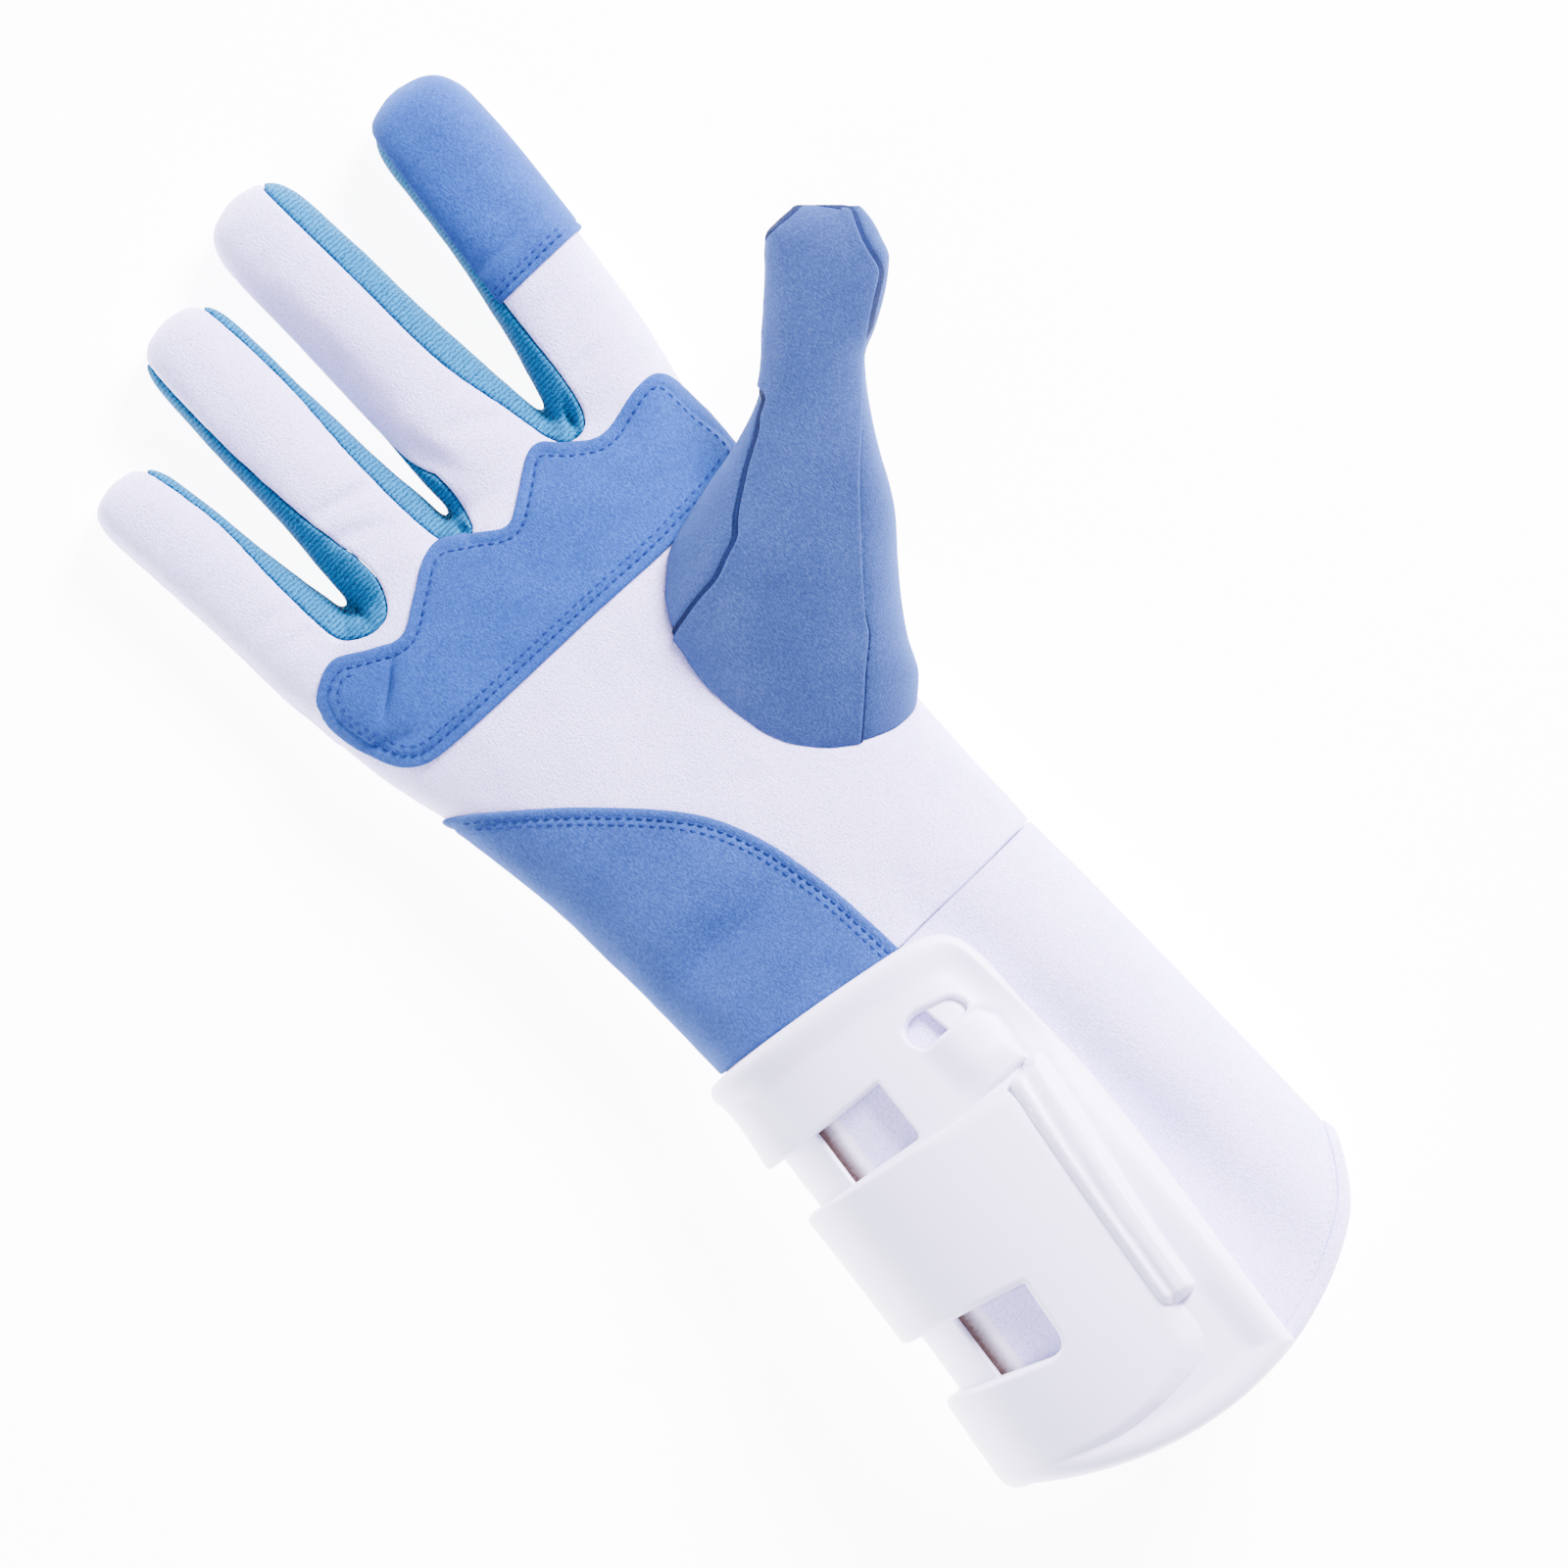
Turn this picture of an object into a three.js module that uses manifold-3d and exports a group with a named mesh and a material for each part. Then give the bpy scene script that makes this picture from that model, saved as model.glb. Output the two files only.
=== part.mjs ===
// A right-hand fencing glove lying on its back, palm up, as a hollow form that a hand goes into.
// Millimetres: +X towards the thumb side, +Y towards the fingertips, +Z up out of the palm.
// While it is modelled, y = 0 is the seam between hand and cuff and z = 0 is the table.
import * as THREE from "three";
import { mergeVertices } from "three/addons/utils/BufferGeometryUtils.js";
import Module from "manifold-3d";

const wasm = await Module();
wasm.setup();

// Driving sizes of the hand
const HAND_LENGTH = 140; // seam at the cuff to the roots of the fingers
const HAND_WIDTH = 111; // across the knuckles
const HAND_DEPTH = 34; // thickness of the filled palm
const FINGER_LENGTH = 86; // roots of the fingers to the tip of the middle one
const FINGER_WIDTH = 26; // across the filled middle finger
const FINGER_DEPTH = 22; // thickness of the filled middle finger
const SEAM_HEIGHT = 15; // the widest line of the palm above the table

// Driving sizes of the cuff
const CUFF_LENGTH = 125; // seam to the lowest point of the mouth
const CUFF_WIDTH = 101; // across the mouth
const CUFF_DEPTH = 62; // height of the mouth
const MOUTH_RADIUS = 75; // curve of the mouth seen from above
const MOUTH_CORNER = 12; // rounding of the mouth's outer corner
const MOUTH_MIDDLE = -0.12; // middle of that curve, share of CUFF_WIDTH

// Driving sizes of the thumb
const THUMB_LENGTH = 120; // end of the rounded base to the squared tip
const THUMB_WIDTH = 54; // across the set-in base
const THUMB_DEPTH = 36; // thickness of the set-in base
const THUMB_TURN = 36; // degrees from +X, seen from above
const THUMB_RISE = 0.18; // height gained for each millimetre towards the tip
const THUMB_BASE_HEIGHT = 26; // middle of the base above the table

// Cloth, leather and clearances
const CLOTH = 1.6;
const PATCH = 1.1;
const HEM_WIDTH = 3.6;
const HEM_EXTRA = 0.9; // how much the hem stands proud of the cloth, inside and out
const SEAM_GAP = 0.3;
const CLOSURE_FLOOR = 8; // the closure stops this far above the table

// The moulded closure on the cuff
const TONGUE = 1.8;
const PLATE = 2.6; // plate above the tongue
const COVER = 1.0; // raised cover above the plate
const RIB_HEIGHT = 2.4; // latch rib above the plate
const RIM_HEIGHT = 1.2; // raised rim along the free edge of the plate and along the mouth
const RIM_WIDTH = 3.0;
const FLANGE_WIDTH = 8.5; // width of that rim along the mouth

// Roundness of a section: 1 is an ellipse, less is squarer
const ROUND_TOP = 0.86;
const ROUND_UNDER = 0.68;
const ROUND_UNDER_FINGER = 0.8;
const TABLE_PRESS = 0.6; // how much the soft underside is flattened by the table

// Facets round a section
const BODY_SIDES = 22;
const FINGER_SIDES = 12;
const THUMB_SIDES = 14;
const FAR = 300; // reach of the cutting prisms
const CRUMB = 1; // cubic millimetres, the largest sliver that a cut may leave beside a piece

// Sections of palm and cuff. along is a share of HAND_LENGTH (positive) or CUFF_LENGTH (negative),
// left and right are shares of HAND_WIDTH or CUFF_WIDTH, top a share of HAND_DEPTH or CUFF_DEPTH,
// seam a share of SEAM_HEIGHT.
const BODY_SECTIONS = [
  { along: -1.1, left: -0.66, right: 0.375, top: 1.03, seam: 1.9 },
  { along: -0.8, left: -0.619, right: 0.384, top: 1.0, seam: 1.85 },
  { along: -0.6, left: -0.58, right: 0.386, top: 0.95, seam: 1.75 },
  { along: -0.4, left: -0.55, right: 0.386, top: 0.88, seam: 1.6 },
  { along: -0.16, left: -0.52, right: 0.385, top: 0.79, seam: 1.45 },
  { along: 0, left: -0.45, right: 0.347, top: 1.3, seam: 1.35 },
  { along: 0.16, left: -0.45, right: 0.351, top: 1.19, seam: 1.25 },
  { along: 0.32, left: -0.453, right: 0.36, top: 1.1, seam: 1.15 },
  { along: 0.46, left: -0.466, right: 0.38, top: 1.04, seam: 1.05 },
  { along: 0.6, left: -0.49, right: 0.41, top: 0.98, seam: 0.98 },
  { along: 0.72, left: -0.527, right: 0.435, top: 0.92, seam: 0.92 },
  { along: 0.84, left: -0.553, right: 0.447, top: 0.84, seam: 0.85 },
  { along: 0.93, left: -0.56, right: 0.455, top: 0.74, seam: 0.75 },
  { along: 0.97, left: -0.545, right: 0.445, top: 0.65, seam: 0.68 },
  { along: 0.992, left: -0.5, right: 0.4, top: 0.46, seam: 0.6 },
];

// Folds pressed into the upper side, each a long soft hollow. across, along and depth are shares of
// width, length and depth of the hand or cuff, as for the sections, length and width are shares of
// that same length, and turn is in degrees from +X.
const FOLDS = [
  { name: "beside plate", across: 0.2, along: -0.46, turn: 93, length: 0.37, width: 0.064, depth: 0.058 },
  { name: "over heel", across: -0.3, along: 0.2, turn: -12, length: 0.143, width: 0.057, depth: 0.07 },
  { name: "palm", across: -0.06, along: 0.55, turn: 30, length: 0.186, width: 0.114, depth: 0.059 },
];

// The four fingers. root and tip are shares of HAND_WIDTH across, reach of FINGER_LENGTH, width of
// FINGER_WIDTH and depth of FINGER_DEPTH; a bend over 1 turns the finger most near its root.
// inner and outer are the widths of fourchette seen on the side of the little finger and of the
// thumb, at the root, the two joints and the tip, as shares of the finger's width; null has none.
const FINGERS = [
  { name: "little", root: -0.446, tip: -0.523, reach: 0.663, width: 0.788, depth: 0.84, bend: 1,
    inner: null, outer: [0.3, 0.2, 0.06, 0.05] },
  { name: "ring", root: -0.21, tip: -0.217, reach: 0.884, width: 0.96, depth: 0.96, bend: 1,
    inner: [0.29, 0.22, 0.13, 0.04], outer: [0.18, 0.14, 0.06, 0.04] },
  { name: "middle", root: 0.074, tip: 0.056, reach: 1, width: 1, depth: 1, bend: 1,
    inner: [0.12, 0.04, 0.035, 0.035], outer: [0.14, 0.23, 0.21, 0.15] },
  { name: "index", root: 0.306, tip: 0.438, reach: 0.895, width: 1, depth: 1, bend: 1.8,
    inner: [0.25, 0.14, 0.1, 0.07], outer: null },
];
const FINGER_SEAM = 0.46; // height of a finger's widest line, share of its depth
const FINGER_ROOT = 0.857; // where a finger's form starts inside the palm, share of HAND_LENGTH
const FINGER_PROFILE = [
  { along: 0, width: 1.18, depth: 1.08 },
  { along: 0.25, width: 1.14, depth: 1.05 },
  { along: 0.45, width: 1.04, depth: 1 },
  { along: 0.65, width: 0.99, depth: 0.98 },
  { along: 0.8, width: 0.96, depth: 0.95 },
  { along: 0.89, width: 0.9, depth: 0.9 },
  { along: 0.95, width: 0.73, depth: 0.8 },
  { along: 0.985, width: 0.45, depth: 0.62 },
  { along: 1, width: 0.16, depth: 0.4 },
];
const FOURCHETTE_STATIONS = [0.25, 0.45, 0.7, 0.94];
const FOURCHETTE_TIP = 0.3; // where a fourchette ends at the tip, share of the width
const CROTCH_DROP = 7; // bottom of a fourchette's U below the finger roots
const CROTCH_ROUND = [
  { share: 0.25, rise: 0.17 }, { share: 0.5, rise: 0 }, { share: 0.75, rise: 0.17 },
]; // the U's round bottom, as shares of its width and of CROTCH_DROP

// Sections of the thumb. along is a share of THUMB_LENGTH from the rounded end of the base,
// side and width are shares of THUMB_WIDTH, depth a share of THUMB_DEPTH.
const THUMB_SECTIONS = [
  { along: 0, side: -0.04, width: 0.16, depth: 0.2 },
  { along: 0.03, side: -0.05, width: 0.48, depth: 0.5 },
  { along: 0.09, side: -0.07, width: 0.84, depth: 0.78 },
  { along: 0.17, side: -0.09, width: 1.0, depth: 0.95 },
  { along: 0.27, side: -0.04, width: 1.0, depth: 1 },
  { along: 0.34, side: 0.01, width: 0.92, depth: 0.98 },
  { along: 0.44, side: 0, width: 0.74, depth: 0.92 },
  { along: 0.55, side: -0.01, width: 0.59, depth: 0.82 },
  { along: 0.64, side: 0.026, width: 0.48, depth: 0.7 },
  { along: 0.73, side: 0.05, width: 0.445, depth: 0.64 },
  { along: 0.84, side: 0.065, width: 0.475, depth: 0.6 },
  { along: 0.92, side: 0.07, width: 0.47, depth: 0.54 },
  { along: 0.97, side: 0.1, width: 0.37, depth: 0.42 },
  { along: 1, side: 0.12, width: 0.22, depth: 0.22 },
];
const THUMB_BASE = { x: 0.216, y: 0.486 }; // middle of the base, shares of HAND_WIDTH and HAND_LENGTH
const THUMB_BASE_ALONG = 0.167; // share of THUMB_LENGTH at which that middle lies

// Seams of the thumb's front panel seen from above: along is a share of THUMB_LENGTH from the
// rounded end of the base, side a share of THUMB_WIDTH across it.
const THUMB_SEAMS = [
  { along: -0.1, towardIndex: 0.5, towardWrist: -0.42 },
  { along: 0.1, towardIndex: 0.41, towardWrist: -0.42 },
  { along: 0.3, towardIndex: 0.26, towardWrist: -0.36 },
  { along: 0.5, towardIndex: 0.24, towardWrist: -0.24 },
  { along: 0.62, towardIndex: 0.245, towardWrist: -0.18 },
  { along: 0.78, towardIndex: 0.26, towardWrist: -0.14 },
  { along: 0.9, towardIndex: 0.29, towardWrist: -0.13 },
  { along: 1.1, towardIndex: 0.36, towardWrist: -0.1 },
];

// Outlines seen from above, smooth through their rows. Hand: across is a share of HAND_WIDTH and
// along a share of HAND_LENGTH.
const PALM_PATCH = [
  { across: -0.54, along: 0.893 }, { across: -0.52, along: 0.935 }, { across: -0.45, along: 0.961 },
  { across: -0.37, along: 0.929 }, { across: -0.306, along: 0.911 }, { across: -0.234, along: 0.943 },
  { across: -0.144, along: 0.982 }, { across: -0.063, along: 0.95 }, { across: 0, along: 0.92 },
  { across: 0.063, along: 0.946 }, { across: 0.144, along: 0.986 }, { across: 0.207, along: 0.946 },
  { across: 0.27, along: 0.919 }, { across: 0.378, along: 0.937 }, { across: 0.436, along: 0.925 },
  { across: 0.446, along: 0.85 }, { across: 0.437, along: 0.74 }, { across: 0.234, along: 0.717 },
  { across: 0, along: 0.721 }, { across: -0.36, along: 0.727 }, { across: -0.47, along: 0.745 },
  { across: -0.522, along: 0.81 },
];
const HEEL_PATCH_EDGE = [
  { across: -0.6, along: 0.69 }, { across: -0.504, along: 0.654 }, { across: -0.405, along: 0.596 },
  { across: -0.27, along: 0.5 }, { across: -0.135, along: 0.382 }, { across: -0.072, along: 0.279 },
  { across: -0.04, along: 0.157 }, { across: -0.027, along: 0.021 }, { across: -0.025, along: -0.1 },
];
const INDEX_CAP_START = 0.473; // share of the index finger's form at which its cap begins
const INDEX_CAP_LOW = 0.3; // lower edge of that cap, share of the finger's depth

// Outlines of the closure: across is a share of CUFF_WIDTH and along a share of CUFF_LENGTH.
const PLATE_TOP = [
  { across: -0.9, along: 0.085 }, { across: -0.505, along: 0.052 }, { across: -0.3, along: 0.032 },
  { across: -0.1, along: 0.004 }, { across: 0.01, along: -0.018 }, { across: 0.075, along: -0.055 },
  { across: 0.096, along: -0.115 }, { across: 0.085, along: -0.24 }, { across: 0.04, along: -0.6 },
  { across: -0.01, along: -1.05 },
];
const WINDOWS = [
  { name: "upper", corner: 0.015, rows: [
    { across: -0.8, along: -0.118 }, { across: -0.257, along: -0.152 },
    { across: -0.272, along: -0.276 }, { across: -0.8, along: -0.205 } ] },
  { name: "lower", corner: 0.05, rows: [
    { across: -0.8, along: -0.475 }, { across: -0.327, along: -0.588 },
    { across: -0.356, along: -0.73 }, { across: -0.8, along: -0.58 } ] },
];
const SLOT = [
  { across: -0.154, along: -0.142 }, { across: -0.14, along: -0.115 }, { across: -0.1, along: -0.108 },
  { across: -0.03, along: -0.11 }, { across: -0.02, along: -0.14 }, { across: -0.03, along: -0.165 },
  { across: -0.1, along: -0.172 }, { across: -0.14, along: -0.168 },
];
const TONGUE_EDGE = { across: -0.422, along: -0.06, endAcross: -0.53, endAlong: -0.79 };
const COVER_EDGE = [
  { across: -0.9, along: -0.185 }, { across: -0.455, along: -0.252 }, { across: -0.28, along: -0.276 },
  { across: -0.2, along: -0.24 }, { across: -0.155, along: -0.18 }, { across: -0.016, along: -0.196 },
  { across: 0.003, along: -0.226 }, { across: 0.003, along: -0.256 }, { across: -0.007, along: -0.296 },
  { across: -0.085, along: -0.305 }, { across: -0.158, along: -0.8 }, { across: -0.2, along: -0.87 },
  { across: -0.9, along: -0.79 },
];
const RIB_EDGE = [
  { across: -0.075, along: -0.305 }, { across: -0.005, along: -0.31 }, { across: -0.105, along: -0.795 },
  { across: -0.152, along: -0.79 },
];

// Plain geometry helpers
const lerp = (a, b, t) => a + (b - a) * t;
const radians = (degrees) => (degrees * Math.PI) / 180;

function solidOf(geometry) {
  const plain = new THREE.BufferGeometry();
  plain.setAttribute("position", geometry.getAttribute("position"));
  if (geometry.index) plain.setIndex(geometry.index);
  const merged = mergeVertices(plain, 1e-4);
  return new wasm.Manifold(
    new wasm.Mesh({
      numProp: 3,
      vertProperties: new Float32Array(merged.attributes.position.array),
      triVerts: new Uint32Array(merged.index.array),
    }),
  );
}

// A closed solid through rings of points, each ring seen anticlockwise from the last ring.
function loft(rings) {
  const sides = rings[0].length;
  const points = rings.flat();
  const faces = [];
  for (let i = 0; i < rings.length - 1; i++) {
    for (let j = 0; j < sides; j++) {
      const a = i * sides + j;
      const b = i * sides + ((j + 1) % sides);
      faces.push(a, b, b + sides, a, b + sides, a + sides);
    }
  }
  for (const [start, flip] of [[0, true], [(rings.length - 1) * sides, false]]) {
    const middle = new THREE.Vector3();
    for (let j = 0; j < sides; j++) middle.addScaledVector(points[start + j], 1 / sides);
    const hub = points.push(middle) - 1;
    for (let j = 0; j < sides; j++) {
      const [a, b] = [start + j, start + ((j + 1) % sides)];
      faces.push(...(flip ? [b, a, hub] : [a, b, hub]));
    }
  }
  const geometry = new THREE.BufferGeometry().setFromPoints(points).setIndex(faces);
  const solid = solidOf(geometry);
  if (solid.volume() > 0) return solid;
  for (let i = 0; i < faces.length; i += 3) [faces[i + 1], faces[i + 2]] = [faces[i + 2], faces[i + 1]];
  return solidOf(new THREE.BufferGeometry().setFromPoints(points).setIndex(faces));
}

// A vertical prism over an outline of Vector2 points.
function prism(outline, low = -FAR, high = FAR) {
  const geometry = new THREE.ExtrudeGeometry(new THREE.Shape(outline), {
    depth: high - low,
    bevelEnabled: false,
  });
  return solidOf(geometry.translate(0, 0, low));
}

// A prism across the glove over an outline of (y, z) points.
function sidePrism(outline) {
  const geometry = new THREE.ExtrudeGeometry(new THREE.Shape(outline), {
    depth: 2 * FAR,
    bevelEnabled: false,
  });
  const turn = new THREE.Matrix4().makeBasis(
    new THREE.Vector3(0, 1, 0), new THREE.Vector3(0, 0, 1), new THREE.Vector3(1, 0, 0));
  return solidOf(geometry.applyMatrix4(turn).translate(-FAR, 0, 0));
}

const box = (x0, x1, y0, y1, z0, z1) =>
  solidOf(new THREE.BoxGeometry(x1 - x0, y1 - y0, z1 - z0)
    .translate((x0 + x1) / 2, (y0 + y1) / 2, (z0 + z1) / 2));

const smooth = (points, steps, closed = false) =>
  new THREE.CatmullRomCurve3(points.map((p) => new THREE.Vector3(p.x, p.y, 0)), closed, "centripetal")
    .getPoints(steps).slice(0, closed ? -1 : undefined).map((p) => new THREE.Vector2(p.x, p.y));

const joined = (solids) => solids.reduce((all, one) => all.add(one));

// Leaves out the slivers that a cut can leave beside a piece. A real second body stays.
const withoutCrumbs = (solid) => joined(solid.decompose().filter((one) => one.volume() > CRUMB));

// Moves the points of an outline sideways by distance, to the left of its direction.
function shifted(outline, distance) {
  return outline.map((p, i) => {
    const before = outline[Math.max(0, i - 1)];
    const after = outline[Math.min(outline.length - 1, i + 1)];
    const run = new THREE.Vector2().subVectors(after, before).normalize();
    return new THREE.Vector2(p.x - run.y * distance, p.y + run.x * distance);
  });
}

// One section at y: superellipses above and below its widest line, folded on top and flattened
// where it meets the table.
function section({ left, right, seam, top, under }, y, sides, grow) {
  const floor = Math.max(0, -grow);
  const middle = (left + right) / 2;
  const half = (right - left) / 2 + grow;
  return Array.from({ length: sides }, (_, j) => {
    const turn = (2 * Math.PI * (j + 0.5)) / sides; // half a step on, so that a facet lies on the table
    const [c, s] = [Math.cos(turn), Math.sin(turn)];
    const power = s >= 0 ? ROUND_TOP : under;
    const reach = s >= 0 ? top - seam + grow : seam + TABLE_PRESS + grow;
    const across = middle + half * Math.sign(c) * Math.abs(c) ** power;
    const height = seam + reach * Math.sign(s) * Math.abs(s) ** power;
    const drop = Math.max(0, s) * foldDrop(across, y);
    return new THREE.Vector3(across, y, Math.max(floor, height - drop));
  });
}

// Forms, each grown outwards by grow millimetres
const acrossAt = (share, along) => share * (along < 0 ? CUFF_WIDTH : HAND_WIDTH);
const alongAt = (share) => share * (share < 0 ? CUFF_LENGTH : HAND_LENGTH);

// How far the folds lower the upper side at a point seen from above
function foldDrop(x, y) {
  return FOLDS.reduce((sum, fold) => {
    const [reach, depth] = fold.along < 0 ? [CUFF_LENGTH, CUFF_DEPTH] : [HAND_LENGTH, HAND_DEPTH];
    const [dx, dy] = [x - acrossAt(fold.across, fold.along), y - alongAt(fold.along)];
    const [c, s] = [Math.cos(radians(fold.turn)), Math.sin(radians(fold.turn))];
    const lengthwise = (dx * c + dy * s) / (fold.length * reach);
    const crosswise = (dy * c - dx * s) / (fold.width * reach);
    return sum + fold.depth * depth * Math.exp(-(lengthwise ** 2) - crosswise ** 2);
  }, 0);
}

function bodyForm(grow) {
  return loft(BODY_SECTIONS.map((row, i) => {
    const last = i === BODY_SECTIONS.length - 1;
    const sizes = {
      left: acrossAt(row.left, row.along),
      right: acrossAt(row.right, row.along),
      seam: row.seam * SEAM_HEIGHT,
      top: row.top * (row.along < 0 ? CUFF_DEPTH : HAND_DEPTH),
      under: ROUND_UNDER,
    };
    return section(sizes, alongAt(row.along) + (last ? grow : 0), BODY_SIDES, grow);
  }));
}

// Middle line and width of a finger at a share of its form
function fingerAt(finger, share) {
  const rootY = FINGER_ROOT * HAND_LENGTH;
  const tipY = HAND_LENGTH + finger.reach * FINGER_LENGTH;
  const lean = 1 - (1 - share) ** finger.bend;
  const rows = FINGER_PROFILE;
  const k = Math.max(1, rows.findIndex((row) => row.along >= share));
  const t = (share - rows[k - 1].along) / (rows[k].along - rows[k - 1].along);
  return {
    x: HAND_WIDTH * lerp(finger.root, finger.tip, lean),
    y: lerp(rootY, tipY, share),
    width: finger.width * FINGER_WIDTH * lerp(rows[k - 1].width, rows[k].width, t),
    depth: FINGER_DEPTH * finger.depth * lerp(rows[k - 1].depth, rows[k].depth, t),
  };
}

function fingerForm(finger, grow) {
  return loft(FINGER_PROFILE.map((row) => {
    const at = fingerAt(finger, row.along);
    const seam = FINGER_SEAM * finger.depth * FINGER_DEPTH;
    const sizes = {
      left: at.x - at.width / 2,
      right: at.x + at.width / 2,
      seam,
      top: seam + (1 - FINGER_SEAM) * at.depth,
      under: ROUND_UNDER_FINGER,
    };
    return section(sizes, at.y + grow * row.along, FINGER_SIDES, grow);
  }));
}

const thumbAxis = new THREE.Vector2(Math.cos(radians(THUMB_TURN)), Math.sin(radians(THUMB_TURN)));
const thumbSide = new THREE.Vector2(-thumbAxis.y, thumbAxis.x);
const thumbPlan = (along, side) =>
  new THREE.Vector2(THUMB_BASE.x * HAND_WIDTH, THUMB_BASE.y * HAND_LENGTH)
    .addScaledVector(thumbAxis, (along - THUMB_BASE_ALONG) * THUMB_LENGTH)
    .addScaledVector(thumbSide, side * THUMB_WIDTH);
const thumbHeight = (along) =>
  THUMB_BASE_HEIGHT + THUMB_RISE * (along - THUMB_BASE_ALONG) * THUMB_LENGTH;

function thumbForm(grow) {
  return loft(THUMB_SECTIONS.map((row, i) => {
    const end = i === 0 ? -1 : i === THUMB_SECTIONS.length - 1 ? 1 : 0;
    const along = row.along + (end * grow) / THUMB_LENGTH;
    const centre = thumbPlan(along, row.side);
    const half = (row.width * THUMB_WIDTH) / 2 + grow;
    const rise = (row.depth * THUMB_DEPTH) / 2 + grow;
    return Array.from({ length: THUMB_SIDES }, (_, j) => {
      const turn = (2 * Math.PI * j) / THUMB_SIDES;
      const [c, s] = [Math.cos(turn), Math.sin(turn)];
      const sideways = half * Math.sign(c) * Math.abs(c) ** ROUND_TOP;
      const up = rise * Math.sign(s) * Math.abs(s) ** ROUND_TOP;
      const at = centre.clone().addScaledVector(thumbSide, -sideways);
      return new THREE.Vector3(at.x, at.y, thumbHeight(along) + up);
    });
  }));
}

const forms = new Map();
function gloveForm(grow) {
  const key = grow.toFixed(4);
  if (!forms.has(key)) {
    forms.set(key, joined([bodyForm(grow), ...FINGERS.map((finger) => fingerForm(finger, grow))]));
  }
  return forms.get(key);
}
const layer = (from, to) => gloveForm(to).subtract(gloveForm(from));

// Regions seen from above
const handPoint = ({ across, along }) => new THREE.Vector2(across * HAND_WIDTH, along * HAND_LENGTH);
const cuffPoint = ({ across, along }) => new THREE.Vector2(across * CUFF_WIDTH, along * CUFF_LENGTH);

// Everything inside the curved mouth, drawn back by inset, with its corner on the thumb side rounded.
function insideMouth(inset) {
  const middle = MOUTH_MIDDLE * CUFF_WIDTH;
  const centreY = MOUTH_RADIUS - CUFF_LENGTH;
  const radius = MOUTH_RADIUS - inset;
  const widest = Math.max(...BODY_SECTIONS.filter((row) => row.along < 0).map((row) => row.right));
  const right = widest * CUFF_WIDTH;
  const outline = [];
  for (let degrees = 202; degrees <= 340; degrees += 6) {
    const turn = radians(degrees);
    const x = middle + radius * Math.cos(turn);
    const y = centreY + radius * Math.sin(turn);
    const short = Math.max(0, x - (right - MOUTH_CORNER));
    outline.push(new THREE.Vector2(x, y + (short * short) / (2 * MOUTH_CORNER)));
  }
  outline.push(new THREE.Vector2(FAR, centreY), new THREE.Vector2(FAR, FAR));
  outline.push(new THREE.Vector2(-FAR, FAR), new THREE.Vector2(-FAR, centreY));
  return prism(outline);
}

// The U between two fingers that a fourchette fills, drawn in by inset.
function betweenFingers(lower, upper, inset) {
  const side = (finger, shares, towards) => {
    const points = FOURCHETTE_STATIONS.map((along, i) => {
      const at = fingerAt(finger, along);
      const seam = at.width / 2 - shares[i] * finger.width * FINGER_WIDTH;
      return new THREE.Vector2(at.x + towards * (seam + inset), at.y);
    });
    const end = fingerAt(finger, FINGER_PROFILE.at(-2).along);
    const tip = FOURCHETTE_TIP * finger.width * FINGER_WIDTH + inset;
    points.push(new THREE.Vector2(end.x + towards * tip, end.y));
    return points;
  };
  const down = side(lower, lower.outer, 1).reverse();
  const up = side(upper, upper.inner, -1);
  const [from, to] = [down.at(-1), up[0]];
  const bottom = HAND_LENGTH - CROTCH_DROP + inset;
  const round = CROTCH_ROUND.map(({ share, rise }) =>
    new THREE.Vector2(lerp(from.x, to.x, share), bottom + rise * CROTCH_DROP));
  const outline = [...down, ...round, ...up];
  return prism(outline);
}

// The line along the sides where palm and back meet
function aboveSeam(shift) {
  const line = BODY_SECTIONS.map((row) =>
    new THREE.Vector2(alongAt(row.along), row.seam * SEAM_HEIGHT + shift));
  const fingerSeam = FINGER_SEAM * FINGER_DEPTH + shift;
  line.push(new THREE.Vector2(HAND_LENGTH + 4, fingerSeam), new THREE.Vector2(FAR, fingerSeam));
  return sidePrism([...line, new THREE.Vector2(FAR, FAR), new THREE.Vector2(line[0].x, FAR)]);
}

const handRegion = box(-FAR, FAR, SEAM_GAP / 2, FAR, -FAR, FAR);
const cuffRegion = box(-FAR, FAR, -FAR, -SEAM_GAP / 2, -FAR, FAR);
const offTable = box(-FAR, FAR, -FAR, FAR, CLOSURE_FLOOR, FAR);
const pairs = FINGERS.slice(1).map((upper, i) => [FINGERS[i], upper]);

// The cloth hand, cut into palm, back and fourchettes, with a hole for the thumb
function handPanels() {
  const shell = layer(-CLOTH, 0).intersect(handRegion).subtract(thumbForm(SEAM_GAP));
  const cut = pairs.map(([lower, upper]) => betweenFingers(lower, upper, -SEAM_GAP / 2));
  const tranks = shell.subtract(joined(cut));
  const panels = {
    palm_panel: tranks.intersect(aboveSeam(SEAM_GAP / 2)),
    back_panel: tranks.subtract(aboveSeam(-SEAM_GAP / 2)),
  };
  for (const [lower, upper] of pairs) {
    panels[`fourchette_${lower.name}_${upper.name}`] =
      shell.intersect(betweenFingers(lower, upper, SEAM_GAP / 2));
  }
  return panels;
}

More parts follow.
